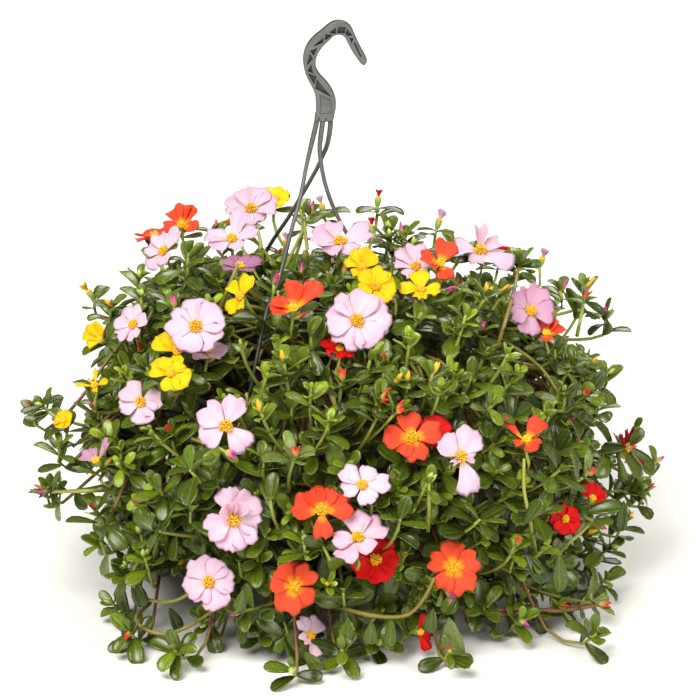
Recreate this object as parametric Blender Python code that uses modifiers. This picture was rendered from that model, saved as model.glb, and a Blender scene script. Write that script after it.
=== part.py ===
"""Portulaca hanging basket, standing on a table.

A tapered plastic pot with drain holes is filled with potting soil. A moulded hanger, a flat truss
hook on three slack arms, is clipped over its rim. Leafy bunches stand in holes in the soil, arch over
the rim and trail down to the table, and five-petalled blooms sit on their tips.

Metres, +Z up. The origin is the middle of the pot's base, on the table.
"""

import math

import bmesh
import bpy
import numpy as np
from mathutils import Matrix
from mathutils.bvhtree import BVHTree

GAP = 0.0003
SEED = 41

# Pot: a tapered cup with a turned lip, standing on its flat base
POT_HEIGHT = 0.155
BASE_RADIUS = 0.088
RIM_RADIUS = 0.1222
LIP_RADIUS = 0.128
LIP_HEIGHT = 0.0045
POT_WALL = 0.0020
POT_FLOOR = 0.0025
POT_SIDES = 32
DRAIN_HOLES = 6
DRAIN_RADIUS = 0.005
DRAIN_CIRCLE = 0.058

# Soil: fills the pot to just under the rim, a little higher in the middle
SOIL_EDGE = 0.141
SOIL_MIDDLE = 0.146

# Crowns: the woody feet of the bunches, four round the middle and nine round the edge
CROWN_RADIUS = 0.0085
CROWN_SIDES = 6
CROWN_FOOT = 0.112
CROWN_TOP = 0.160
INNER_CROWNS = 4
INNER_CIRCLE = 0.040
OUTER_CROWNS = 9
OUTER_CIRCLE = 0.088
INNER_REACH = 0.170
INNER_HEIGHT = 0.205

# Dome: the rounded outline that the shoots grow out to
DOME_MIDDLE = np.array([0.0, 0.0, 0.105])
DOME_RADII = np.array([0.250, 0.246, 0.180])

# Heights of tips: stems to those over the high one don't trail, those under the low one hang down, and
# those under the table one lie along the table, where no stem's middle comes below the clear height
HIGH_TIP = 0.178
LOW_TIP = 0.100
TABLE_TIP = 0.045
LOWEST_TIP = 0.020
TABLE_CLEAR = 0.0042

# Trailing stems: how far outside the lip they pass, and how high over it the lowest and the highest do
OVER_LIP = 0.008
LOW_ARCH = 0.011
HIGH_ARCH = 0.056

# Leaves, stems and blooms
LEAF_LENGTH = 0.024
BLADE = 0.0016
STEM_RADIUS = 0.0016
CALYX = 0.006
NECK = 0.020
BLOOM_NODES = 44
BACK_BLOOMS = 14
BACK_RADII = (0.016, 0.023)
FILLING_SHOOTS = 9
BLOOM_ROOM = 0.030

# Branches: their least and greatest length, where on a stem they fork, and how often a clear one is
# tried before a stem of its own, each trial bent a little more than the last
LEAST_BRANCH = 0.030
MOST_BRANCH = 0.095
FORKS = (0.45, 0.60, 0.75)
BRANCH_TRIALS = 40
STEM_TRIALS = 80
TRIAL_BEND = 0.0015
MOST_BEND = 0.035
LEAF_TRIALS = 16

# Whorls down a shoot: distance from its tip, number of leaves, slope of their tips. The largest blooms
# hide the leaves under them, so these have none.
LEAFY_STATIONS = [(0.0, 5, 0.45), (0.024, 3, 0.30)]
BLOOM_STATIONS = [(0.0, 3, 0.10)]
LEAFLESS_BLOOMS = 30

# Hanger: a flat hook, its block, three round arms and their clips
HOOK_THICKNESS = 0.0066
POCKET_DEPTH = 0.0022
ARM_RADIUS = 0.0017
ARM_POINTS = 15
CLIP_WIDTH = 0.012
CLIP_WALL = 0.0027
CLIP_REACH = 0.009

# Front view: the hook, arms, blooms and shoot tips are laid out as seen from in front, 20 degrees up,
# on a picture whose pixels are 0.8 mm across at the basket
VIEW_LIFT = math.radians(20)
VIEW_DISTANCE = 2.4
VIEW_TARGET = np.array([0.0144, 0.0, 0.172])
PIXEL = 0.0008
MIDDLE_PIXEL = 348
TO_EYE = np.array([0.0, -math.cos(VIEW_LIFT), math.sin(VIEW_LIFT)])
PICTURE_RIGHT = np.array([1.0, 0.0, 0.0])
PICTURE_UP = np.array([0.0, math.sin(VIEW_LIFT), math.cos(VIEW_LIFT)])

# Hook edges in the front view, from the block's left corner up round the outside to the tip, then
# back along the inside; the two points at 34.6 make the flat saddle that hangs on a rod
HOOK_OUTER = [
    (315.5, 121), (315.8, 104), (314.8, 93), (311, 84.6), (306, 74.6), (303.6, 65), (303, 56.4),
    (305.5, 47), (311, 38.5), (319.6, 31), (329.5, 23), (335, 20.6), (341, 20.2), (347, 22.6),
    (351.4, 27.4), (354.4, 34), (359.4, 44.8), (364.4, 54), (366.8, 59.7), (366, 63.2), (363.4, 64.6),
]
HOOK_INNER = [
    (360.8, 62.9), (354.4, 54), (349.4, 45.6), (345.6, 38.2), (342, 34.6), (335.2, 34.6), (329.5, 39.6),
    (323, 46), (318, 53), (315.8, 60.5), (316.4, 68), (320.4, 74.6), (327.6, 82.5), (332.2, 89.5),
    (335.2, 97), (336, 105), (334.6, 114), (333, 121),
]
SADDLE = (338.6, 34.6)
HOOK_POCKETS = [
    [(320.6, 94.4), (329.0, 97.6), (331.0, 102.0), (330.6, 111.6), (319.6, 111.6), (320.1, 99.1)],
    [(317.4, 79.2), (316.4, 87.0), (328.4, 92.6)],
    [(309.5, 72.6), (315.5, 75.1), (313.8, 80.9)],
    [(311.5, 64.6), (307.8, 68.1), (312.6, 71.0)],
    [(309.6, 53.4), (312.0, 57.8), (307.2, 63.0)],
    [(316.4, 47.6), (311.0, 49.9), (313.4, 53.0)],
    [(322.4, 37.0), (322.0, 41.8), (314.6, 44.4)],
    [(325.4, 33.4), (330.2, 34.0), (325.4, 38.3)],
    [(335.2, 27.6), (334.8, 31.6), (329.9, 30.2)],
    [(338.4, 26.2), (343.7, 26.6), (342.4, 30.9), (337.7, 30.4)],
    [(347.3, 29.2), (350.2, 33.8), (346.8, 34.0), (345.5, 31.1)],
    [(348.9, 38.1), (352.0, 37.0), (351.2, 40.9)],
    [(353.4, 42.9), (354.8, 42.1), (360.4, 53.4), (359.4, 54.0)],
]

# Arms in the front view with their depth behind the hook's plane; the last point is their clip
ARMS = {
    "front": [
        (317.6, 113, 0.0), (316.2, 124, 0.0), (311, 146, -0.003), (306, 168, -0.008), (301, 194, -0.017),
        (291, 232, -0.034), (284, 260, -0.048), (277, 285, -0.060), (269, 304, -0.068),
        (264, 323, -0.077), (256, 361, -0.093), (250, 390, -0.103),
    ],
    "right": [
        (323.4, 113, 0.0), (322.4, 124, -0.001), (319.8, 146, -0.004), (321, 163, -0.007),
        (325, 183, -0.009), (332, 204, -0.010), (343, 227, -0.011), (357, 249, -0.011),
        (372, 272, -0.010), (398, 303, -0.009), (432, 333, -0.007), (466, 356, -0.005),
    ],
    "back": [
        (329.6, 113, 0.0), (330.5, 124, 0.001), (327.4, 144, 0.004), (322, 157, 0.007),
        (316.6, 169, 0.011), (307.7, 185, 0.017), (300, 198, 0.023), (288, 218, 0.035),
        (273, 240, 0.050), (261.5, 260, 0.066), (253, 277, 0.082), (250, 294, 0.096),
    ],
}
CLIP_TURNS = {"front": math.radians(-122), "right": math.radians(-2), "back": math.radians(118)}

# Blooms of the front view: colour, picture place, width, turn to the right and lift in degrees from
# facing the eye, and how far it sits behind the dome's surface
FRONT_BLOOMS = [
    ("pink", 251, 210, 0.042, 0, 40, 0.0), ("pink", 164, 252, 0.034, -35, 25, 0.0),
    ("pink", 232, 240, 0.039, -10, 50, 0.0), ("pink", 240, 268, 0.033, 0, 68, 0.012),
    ("pink", 340, 243, 0.045, 0, 50, 0.0), ("pink", 416, 268, 0.036, -10, 45, 0.010),
    ("pink", 480, 252, 0.048, 15, 45, 0.0), ("pink", 530, 311, 0.039, 25, 12, 0.0),
    ("pink", 196, 327, 0.046, -10, 20, -0.013), ("pink", 357, 321, 0.049, 0, 15, 0.0),
    ("pink", 141, 402, 0.034, -10, 10, 0.0), ("pink", 226, 426, 0.044, 0, 5, 0.0),
    ("pink", 460, 457, 0.044, 28, 5, -0.008), ("pink", 233, 520, 0.046, 12, 5, 0.0),
    ("pink", 362, 485, 0.035, 0, 20, 0.0), ("pink", 358, 539, 0.042, 0, 45, -0.008),
    ("pink", 209, 582, 0.040, -10, 10, 0.0), ("pink", 134, 325, 0.032, -40, 20, 0.0),
    ("pink", 97, 461, 0.028, -50, 30, 0.0), ("pink", 207, 352, 0.032, 0, 60, 0.026),
    ("pink", 310, 636, 0.030, 50, 20, 0.0),
    ("orange", 182, 226, 0.031, -20, 40, 0.0), ("orange", 293, 310, 0.034, 10, 48, 0.0),
    ("orange", 440, 264, 0.031, 30, 35, -0.010), ("orange", 412, 438, 0.042, 0, 25, 0.0),
    ("orange", 322, 511, 0.046, 0, 25, 0.0), ("orange", 294, 586, 0.038, 15, 5, 0.0),
    ("orange", 453, 567, 0.041, 0, 5, 0.0), ("orange", 526, 441, 0.030, 20, 50, 0.0),
    ("orange", 546, 335, 0.028, 20, 62, 0.014),
    ("red", 340, 350, 0.026, 0, 52, 0.022), ("red", 434, 433, 0.028, 10, 20, 0.014),
    ("red", 375, 560, 0.040, 10, 15, 0.022), ("red", 565, 519, 0.026, 20, 10, 0.012),
    ("red", 592, 499, 0.024, 30, 40, 0.010), ("red", 626, 448, 0.030, 50, 10, 0.0),
    ("red", 419, 632, 0.022, 55, -5, 0.0),
    ("yellow", 275, 199, 0.028, 0, 50, 0.020), ("yellow", 241, 297, 0.030, -45, 20, 0.0),
    ("yellow", 362, 268, 0.029, -10, 30, 0.004), ("yellow", 375, 287, 0.032, 10, 25, -0.008),
    ("yellow", 421, 290, 0.028, 0, 42, 0.0), ("yellow", 177, 352, 0.033, 0, 35, -0.003),
    ("yellow", 170, 374, 0.030, 0, 28, -0.016), ("yellow", 101, 340, 0.022, -45, 10, 0.0),
    ("yellow", 95, 386, 0.023, -30, 45, 0.0), ("yellow", 64, 421, 0.018, -40, 30, 0.0),
]
BACK_COLOURS = ["pink", "orange", "pink", "yellow", "pink", "red"]

# Leafy shoot tips along the plant's outline in the front view
OUTLINE_TIPS = [
    (300, 208), (389, 229), (455, 243), (512, 262), (560, 290), (585, 287), (604, 314), (606, 372),
    (596, 404), (655, 462), (645, 492), (624, 522), (610, 548), (606, 580), (597, 634), (558, 606),
    (520, 620), (486, 606), (450, 652), (380, 640), (342, 650), (292, 668), (258, 634), (205, 622),
    (174, 650), (128, 632), (112, 604), (126, 566), (100, 540), (97, 506), (46, 490), (34, 408),
    (60, 445), (112, 306), (140, 278), (216, 232),
]

COLOURS = {
    "pink": (0.94, 0.62, 0.86), "orange": (0.93, 0.16, 0.05), "red": (0.75, 0.01, 0.01),
    "yellow": (0.98, 0.70, 0.02), "leaf": (0.07, 0.15, 0.03), "pot": (0.012, 0.011, 0.014),
    "soil": (0.045, 0.026, 0.016), "hanger": (0.17, 0.18, 0.185),
}
ROUGHNESS = {"leaf": 0.42, "pot": 0.45, "soil": 0.95, "hanger": 0.5}


def unit(vector):
    return vector / np.linalg.norm(vector)


def at_depth(across, down, depth):
    """The point that the front view shows at this picture place, on the upright plane Y = depth."""
    eye = VIEW_TARGET + VIEW_DISTANCE * TO_EYE
    ray = VIEW_TARGET + (across - MIDDLE_PIXEL) * PIXEL * PICTURE_RIGHT - eye
    ray = ray + (MIDDLE_PIXEL - down) * PIXEL * PICTURE_UP
    return eye + ray * (depth - eye[1]) / ray[1]


def on_dome(across, down, sunk=0.0):
    """Where the line of sight through this picture place meets the dome, or passes it closest."""
    eye = VIEW_TARGET + VIEW_DISTANCE * TO_EYE
    ray = unit(at_depth(across, down, 0.0) - eye)
    start = (eye - DOME_MIDDLE) / DOME_RADII
    slope = ray / DOME_RADII
    nearest = -start.dot(slope) / slope.dot(slope)
    inside = 1.0 - np.sum((start + nearest * slope) ** 2)
    distance = nearest - math.sqrt(max(inside, 0.0) / slope.dot(slope)) + sunk
    if (eye + distance * ray)[2] < LOWEST_TIP:
        distance = (LOWEST_TIP - eye[2]) / ray[2]
    return eye + distance * ray


def dome_normal(point):
    return unit((point - DOME_MIDDLE) / DOME_RADII**2)


def facing(turn, lift):
    """The direction that lies this many degrees to the right of the eye and above it."""
    turn = math.radians(turn)
    lift = VIEW_LIFT + math.radians(lift)
    return np.array([math.sin(turn) * math.cos(lift), -math.cos(turn) * math.cos(lift), math.sin(lift)])


def square_frame(axis, towards):
    """Three unit axes as columns: the last along axis, the first as near to towards as it can be."""
    third = unit(axis)
    first = towards - third * third.dot(towards)
    first = unit(first)
    return np.column_stack([first, np.cross(third, first), third])


# Scene, materials and ways to make a mesh


def clear_scene():
    for obj in list(bpy.data.objects):
        bpy.data.objects.remove(obj, do_unlink=True)


def new_collection(name):
    collection = bpy.data.collections.new(name)
    bpy.context.scene.collection.children.link(collection)
    return collection


def finish_of(name):
    """The material of this name, made once."""
    if name in bpy.data.materials:
        return bpy.data.materials[name]
    material = bpy.data.materials.new(name)
    material.use_nodes = True
    shader = material.node_tree.nodes["Principled BSDF"]
    shader.inputs["Base Color"].default_value = (*COLOURS[name], 1.0)
    shader.inputs["Roughness"].default_value = ROUGHNESS.get(name, 0.55)
    shader.inputs["Metallic"].default_value = 0.0
    material.diffuse_color = (*COLOURS[name], 1.0)
    return material


def mesh_object(name, points, faces, finish, collection):
    mesh = bpy.data.meshes.new(name)
    mesh.from_pydata([tuple(point) for point in points], [], faces)
    mesh.materials.append(finish_of(finish))
    obj = bpy.data.objects.new(name, mesh)
    collection.objects.link(obj)
    return obj


def as_mesh(obj, collection):
    """A curve object's evaluated shape as a mesh object of welded triangles; the curve is removed."""
    bpy.context.view_layer.update()
    graph = bpy.context.evaluated_depsgraph_get()
    mesh = bpy.data.meshes.new_from_object(obj.evaluated_get(graph))
    mesh.transform(obj.matrix_world)
    builder = bmesh.new()
    builder.from_mesh(mesh)
    bmesh.ops.remove_doubles(builder, verts=builder.verts, dist=0.00001)
    bmesh.ops.triangulate(builder, faces=builder.faces)
    bmesh.ops.recalc_face_normals(builder, faces=builder.faces)
    builder.to_mesh(mesh)
    builder.free()
    name = obj.name
    curve = obj.data
    bpy.data.objects.remove(obj, do_unlink=True)
    bpy.data.curves.remove(curve)
    solid = bpy.data.objects.new(name, mesh)
    collection.objects.link(solid)
    return solid


def rod(name, points, radii, finish, collection, section=None):
    """A round rod along these points, its radius given at each of them, or one of another section."""
    curve = bpy.data.curves.new(name, "CURVE")
    curve.dimensions = "3D"
    curve.bevel_depth = 1.0
    curve.bevel_resolution = 2
    if section is not None:
        curve.bevel_mode = "OBJECT"
        curve.bevel_object = section
    curve.use_fill_caps = True
    spline = curve.splines.new("POLY")
    spline.points.add(len(points) - 1)
    for place, point, radius in zip(spline.points, points, radii):
        place.co = (*point, 1.0)
        place.radius = radius
    curve.materials.append(finish_of(finish))
    obj = bpy.data.objects.new(name, curve)
    collection.objects.link(obj)
    return as_mesh(obj, collection)


def three_sided_section():
    """A triangle of radius 1 that gives the slim stems their section."""
    curve = bpy.data.curves.new("stem_section", "CURVE")
    curve.dimensions = "2D"
    spline = curve.splines.new("POLY")
    spline.points.add(2)
    for k, place in enumerate(spline.points):
        turn = -2 * math.pi * k / 3
        place.co = (math.cos(turn), math.sin(turn), 0.0, 1.0)
    spline.use_cyclic_u = True
    obj = bpy.data.objects.new("stem_section", curve)
    obj.hide_render = True
    obj.display_type = "WIRE"
    return obj


def plate(name, outline, thickness, finish, stand, collection):
    """A flat outline given half the thickness to each side, then placed by the matrix stand."""
    curve = bpy.data.curves.new(name, "CURVE")
    curve.dimensions = "2D"
    curve.fill_mode = "BOTH"
    curve.extrude = thickness / 2
    spline = curve.splines.new("POLY")
    spline.points.add(len(outline) - 1)
    for place, (x, y) in zip(spline.points, outline):
        place.co = (x, y, 0.0, 1.0)
    spline.use_cyclic_u = True
    curve.materials.append(finish_of(finish))
    obj = bpy.data.objects.new(name, curve)
    obj.matrix_world = stand
    collection.objects.link(obj)
    return as_mesh(obj, collection)


def turned(name, profile, finish, collection):
    """A profile of (radius, height) points turned once round the upright axis."""
    mesh = bpy.data.meshes.new(name)
    edges = [(i, i + 1) for i in range(len(profile) - 1)]
    mesh.from_pydata([(radius, 0.0, height) for radius, height in profile], edges, [])
    mesh.materials.append(finish_of(finish))
    obj = bpy.data.objects.new(name, mesh)
    collection.objects.link(obj)
    turn = obj.modifiers.new("Turn", "SCREW")
    turn.steps = POT_SIDES
    turn.render_steps = POT_SIDES
    turn.use_merge_vertices = True
    turn.merge_threshold = 0.0001
    return obj


def cut_by(obj, name, cutters, operation="DIFFERENCE", solver="EXACT"):
    """Cuts the collection of cutters from the object, or joins them to it, and removes them."""
    change = obj.modifiers.new(name, "BOOLEAN")
    change.operation = operation
    change.solver = solver
    change.material_mode = "TRANSFER"
    change.operand_type = "COLLECTION"
    change.collection = cutters
    bpy.context.view_layer.update()
    graph = bpy.context.evaluated_depsgraph_get()
    mesh = bpy.data.meshes.new_from_object(obj.evaluated_get(graph))
    obj.modifiers.clear()
    obj.data = mesh
    for cutter in list(cutters.objects):
        bpy.data.objects.remove(cutter, do_unlink=True)
    bpy.data.collections.remove(cutters)
    return obj


def keep_main_body(obj, flat=0.0):
    """Drops the loose scraps and the sealed hollows that joining leaves, and keeps the largest body.
    Splits in faces that are flat to within this angle are closed again."""
    builder = bmesh.new()
    builder.from_mesh(obj.data)
    bmesh.ops.triangulate(builder, faces=builder.faces)
    unseen = set(builder.faces)
    bodies = []
    while unseen:
        front = [unseen.pop()]
        body = list(front)
        while front:
            near = {other for edge in front.pop().edges for other in edge.link_faces} & unseen
            unseen -= near
            front.extend(near)
            body.extend(near)
        bodies.append(body)
    main = max(bodies, key=len)
    for body in bodies:
        if body is not main:
            bmesh.ops.delete(builder, geom=body, context="FACES")
    if flat:
        bmesh.ops.dissolve_limit(builder, angle_limit=flat, verts=builder.verts, edges=builder.edges)
        bmesh.ops.triangulate(builder, faces=builder.faces)
    builder.to_mesh(obj.data)
    builder.free()
    return obj


# Pot and soil


def pot_inner_radius(height):
    """The inner wall's radius at this height."""
    share = (height - POT_FLOOR) / (POT_HEIGHT - POT_FLOOR)
    return BASE_RADIUS - POT_WALL + share * (RIM_RADIUS - BASE_RADIUS)


def make_pot(collection):
    profile = [
        (0.0, POT_FLOOR),
        (pot_inner_radius(POT_FLOOR), POT_FLOOR),
        (pot_inner_radius(POT_HEIGHT), POT_HEIGHT),
        (LIP_RADIUS, POT_HEIGHT),
        (LIP_RADIUS, POT_HEIGHT - LIP_HEIGHT),
        (RIM_RADIUS, POT_HEIGHT - LIP_HEIGHT),
        (BASE_RADIUS + 0.0015, 0.0015),
        (BASE_RADIUS, 0.0),
        (0.0, 0.0),
    ]
    pot = turned("pot", profile, "pot", collection)
    drains = new_collection("drains")
    for k in range(DRAIN_HOLES):
        turn = 2 * math.pi * k / DRAIN_HOLES
        bpy.ops.mesh.primitive_cylinder_add(
            vertices=10,
            radius=DRAIN_RADIUS,
            depth=4 * POT_FLOOR,
            location=(DRAIN_CIRCLE * math.cos(turn), DRAIN_CIRCLE * math.sin(turn), POT_FLOOR / 2),
        )
        drain = bpy.context.active_object
        for holder in list(drain.users_collection):
            holder.objects.unlink(drain)
        drains.objects.link(drain)
    return cut_by(pot, "Drains", drains)


def crown_places():
    """Each bunch's name and the place of its crown on the soil."""
    places = []
    for k in range(INNER_CROWNS):
        turn = 2 * math.pi * (k + 0.5) / INNER_CROWNS
        places.append((f"bunch_inner_{k + 1}", INNER_CIRCLE, turn))
    for k in range(OUTER_CROWNS):
        turn = 2 * math.pi * (k + 0.5) / OUTER_CROWNS
        places.append((f"bunch_outer_{k + 1}", OUTER_CIRCLE, turn))
    return places


def prism(name, radius, low, high, place, finish, collection):
    """An upright six-sided prism on the crown place."""
    _, circle, turn = place
    bpy.ops.mesh.primitive_cylinder_add(
        vertices=CROWN_SIDES,
        radius=radius,
        depth=high - low,
        location=(circle * math.cos(turn), circle * math.sin(turn), (low + high) / 2),
    )
    obj = bpy.context.active_object
    obj.name = name
    obj.data.materials.append(finish_of(finish))
    for holder in list(obj.users_collection):
        holder.objects.unlink(obj)
    collection.objects.link(obj)
    obj.data.transform(Matrix.Translation(obj.location))
    obj.location = (0.0, 0.0, 0.0)
    return obj


def make_soil(collection):
    floor = POT_FLOOR + GAP
    profile = [
        (0.0, SOIL_MIDDLE),
        (0.6 * pot_inner_radius(SOIL_EDGE), SOIL_MIDDLE - 0.001),
        (pot_inner_radius(SOIL_EDGE) - GAP, SOIL_EDGE),
        (pot_inner_radius(floor) - GAP, floor),
        (0.0, floor),
    ]
    soil = turned("soil", profile, "soil", collection)
    holes = new_collection("holes")
    for place in crown_places():
        prism("hole", CROWN_RADIUS + 1.3 * GAP, CROWN_FOOT - GAP, CROWN_TOP, place, "soil", holes)
    return cut_by(soil, "Holes", holes)


# Hanger


def smooth_line(waypoints, count):
    """A smooth curve through the waypoints, read at points spaced evenly along it."""
    knots = np.asarray(waypoints, float)
    before = 2 * knots[0] - knots[1]
    after = 2 * knots[-1] - knots[-2]
    knots = np.vstack([before, knots, after])
    share = np.linspace(0.0, 1.0, 9)[:-1, None]
    pieces = []
    for a, b, c, d in zip(knots[:-3], knots[1:-2], knots[2:-1], knots[3:]):
        bend = (2 * a - 5 * b + 4 * c - d) * share**2 + (3 * b - a - 3 * c + d) * share**3
        pieces.append(0.5 * (2 * b + (c - a) * share + bend))
    line = np.vstack([*pieces, knots[-2:-1]])
    along = np.concatenate([[0.0], np.cumsum(np.linalg.norm(np.diff(line, axis=0), axis=1))])
    even = np.linspace(0.0, along[-1], count)
    return np.column_stack([np.interp(even, along, line[:, axis]) for axis in range(3)])


def make_clip(name, turn, collection):
    """A clip that lies on the rim, goes down outside the lip and turns in under it."""
    outside = LIP_RADIUS + GAP
    top = POT_HEIGHT + GAP
    under = POT_HEIGHT - LIP_HEIGHT - GAP
    outline = [
        (LIP_RADIUS - CLIP_REACH, top),
        (outside, top),
        (outside, under),
        (outside - 0.004, under),
        (outside - 0.004, under - CLIP_WALL),
        (outside + CLIP_WALL, under - CLIP_WALL),
        (outside + CLIP_WALL, top + CLIP_WALL),
        (LIP_RADIUS - CLIP_REACH, top + CLIP_WALL),
    ]
    stand = Matrix.Rotation(turn, 4, "Z") @ Matrix.Rotation(math.pi / 2, 4, "X")
    return plate(name, outline, CLIP_WIDTH, "hanger", stand, collection)


def arm_line(side):
    """The points of one arm, from inside the block down to its clip on the rim."""
    turn = CLIP_TURNS[side]
    reach = LIP_RADIUS - 0.002
    seat = np.array([reach * math.cos(turn), reach * math.sin(turn), POT_HEIGHT + GAP + CLIP_WALL / 2])
    above = seat * np.array([0.985, 0.985, 1.0]) + np.array([0.0, 0.0, 0.010])
    points = [at_depth(*place) for place in ARMS[side]]
    return smooth_line([*points, above, seat], ARM_POINTS)


def make_hanger(collection):
    outline = [at_depth(across, down, 0.0)[[0, 2]] for across, down in HOOK_OUTER + HOOK_INNER]
    saddle = at_depth(*SADDLE, 0.0)[2]
    outline = [(x, saddle if abs(z - saddle) < 0.0001 else z) for x, z in outline]
    upright = Matrix.Rotation(math.pi / 2, 4, "X")
    hanger = plate("hanger", outline, HOOK_THICKNESS, "hanger", upright, collection)
    pockets = new_collection("pockets")
    for pocket in HOOK_POCKETS:
        edge = [at_depth(across, down, 0.0)[[0, 2]] for across, down in pocket]
        for side in (-1, 1):
            stand = Matrix.Translation((0.0, side * HOOK_THICKNESS / 2, 0.0)) @ upright
            plate("pocket", edge, 2 * POCKET_DEPTH, "hanger", stand, pockets)
    cut_by(hanger, "Pockets", pockets, solver="MANIFOLD")
    limbs = new_collection("limbs")
    for side, turn in CLIP_TURNS.items():
        line = arm_line(side)
        radii = np.interp(np.arange(ARM_POINTS), [0, 2], [1.15 * ARM_RADIUS, ARM_RADIUS])
        rod("arm", line, radii, "hanger", limbs)
        make_clip("clip", turn, limbs)
    return keep_main_body(cut_by(hanger, "Limbs", limbs, "UNION", "MANIFOLD"), math.radians(0.5))


# Forms of a bloom and a whorl of leaves


def star_form(centre, axis, radius, spin, lobes, edge, hub, foot=0.0):
    """A star of lobes round an axis. Each lobe has the same edge points, given as a turn in degrees
    from its middle, a reach and a rise, and on each face one point of a ring near the hub. With a foot
    the middle comes down to a point below."""
    each = len(edge)
    middles = np.arange(lobes) * 360.0 / lobes + spin
    turn = np.radians((middles[:, None] + edge[:, 0]).ravel())
    reach = np.tile(edge[:, 1], lobes) * radius
    rise = np.tile(edge[:, 2], lobes) * radius
    rim = np.column_stack([reach * np.cos(turn), reach * np.sin(turn), rise])
    ring = hub * radius * np.column_stack([np.cos(np.radians(middles)), np.sin(np.radians(middles))])
    upper = np.column_stack([ring, np.full(lobes, BLADE / 2)])
    lower = np.column_stack([ring, np.full(lobes, -BLADE / 2)])
    shape = np.vstack([rim, upper, lower, [[0.0, 0.0, -foot]]])
    helper = np.array([0.0, 0.0, 1.0]) if abs(axis[2]) < 0.9 else np.array([0.0, 1.0, 0.0])
    points = centre + shape @ square_frame(axis, helper).T
    count = lobes * each
    low = count + lobes
    faces = [tuple(range(count, low))]
    for k in range(count):
        after = (k + 1) % count
        here = k // each
        there = after // each
        faces += [(count + here, k, after), (low + here, after, k)]
        if here != there:
            faces += [(count + here, after, count + there), (low + here, low + there, after)]
            if foot:
                faces.append((low + lobes, low + there, low + here))
    if foot:
        return points, faces
    return points[:-1], [*faces, tuple(range(low + lobes - 1, low - 1, -1))]


def bloom_form(centre, face, radius, spin):
    """Five broad notched petals: a cleft, a high shoulder, a notch and a lower shoulder in each."""
    edge = np.array([[-36.0, 0.50, 0.02], [-19.0, 1.0, 0.22], [0.0, 0.87, 0.14], [19.0, 0.97, 0.09]])
    return star_form(centre, face, radius, spin, 5, edge, 0.2, CALYX)


def whorl_form(centre, axis, length, spin, leaves, lift):
    """Spatulate leaves round a stem, widest past their middle, their tips lifted by this slope."""
    edge = np.array([[-180.0 / leaves, 0.14, 0.0], [-17.0, 0.66, 0.70], [0.0, 1.0, 0.86], [17.0, 0.66, 0.70]])
    edge[:, 2] *= lift
    return star_form(centre, axis, length, spin, leaves, edge, 0.12)


def petal_sprays():
    """Every bloom: its colour, centre, direction, radius, spin and number, the largest first."""
    blooms = []
    for colour, across, down, width, turn, lift, sunk in FRONT_BLOOMS:
        blooms.append((colour, on_dome(across, down, sunk), facing(turn, lift), width / 2))
    draw = np.random.default_rng([SEED, 1])
    golden = math.pi * (3 - math.sqrt(5))
    for k in range(8 * BACK_BLOOMS):
        share = (k + 0.5) / (8 * BACK_BLOOMS)
        turn = k * golden
        level = 1.0 - 1.45 * share
        flat = math.sqrt(max(1.0 - level**2, 0.0))
        point = DOME_MIDDLE + DOME_RADII * np.array([flat * math.cos(turn), flat * math.sin(turn), level])
        normal = dome_normal(point)
        hidden = normal.dot(TO_EYE) < -0.02 and point[2] > 0.03
        near = min(np.linalg.norm(point - other[1]) for other in blooms)
        if not hidden or near < 2.0 * BLOOM_ROOM or len(blooms) == len(FRONT_BLOOMS) + BACK_BLOOMS:
            continue
        face = unit(normal + np.array([0.0, 0.0, 0.45]) + draw.uniform(-0.25, 0.25, 3))
        colour = BACK_COLOURS[len(blooms) % len(BACK_COLOURS)]
        blooms.append((colour, point, face, draw.uniform(*BACK_RADII)))
    blooms.sort(key=lambda bloom: -bloom[3])
    spins = np.random.default_rng([SEED, 2]).uniform(0.0, 72.0, len(blooms))
    return [(*bloom, spin, number) for number, (bloom, spin) in enumerate(zip(blooms, spins))]


def leafy_tips(blooms):
    """Tips and directions of the shoots that carry no bloom."""
    tips = [on_dome(across, down) for across, down in OUTLINE_TIPS]
    centres = [bloom[1] for bloom in blooms]
    golden = math.pi * (3 - math.sqrt(5))
    steps = 12 * FILLING_SHOOTS
    fillers = 0
    for k in range(steps):
        share = (k + 0.5) / steps
        level = 1.0 - 1.5 * ((share * 7.0) % 1.0)
        flat = math.sqrt(max(1.0 - level**2, 0.0))
        turn = k * golden
        point = DOME_MIDDLE + 0.97 * DOME_RADII * np.array(
            [flat * math.cos(turn), flat * math.sin(turn), level]
        )
        taken = min(np.linalg.norm(point - other) for other in centres + tips)
        if point[2] > LOWEST_TIP and taken > 1.55 * BLOOM_ROOM and fillers < FILLING_SHOOTS:
            tips.append(point)
            fillers += 1
    lift = np.array([0.0, 0.0, 0.75])
    return [(tip, unit(dome_normal(tip) + lift)) for tip in tips]


# Stems


def bunch_of(tip):
    """The crown that a shoot with this tip grows from: an inner one for the top of the dome."""
    turn = math.atan2(tip[1], tip[0]) % (2 * math.pi)
    if math.hypot(tip[0], tip[1]) < INNER_REACH and tip[2] > INNER_HEIGHT:
        return int(turn / (2 * math.pi) * INNER_CROWNS) % INNER_CROWNS
    return INNER_CROWNS + int(turn / (2 * math.pi) * OUTER_CROWNS) % OUTER_CROWNS


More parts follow.
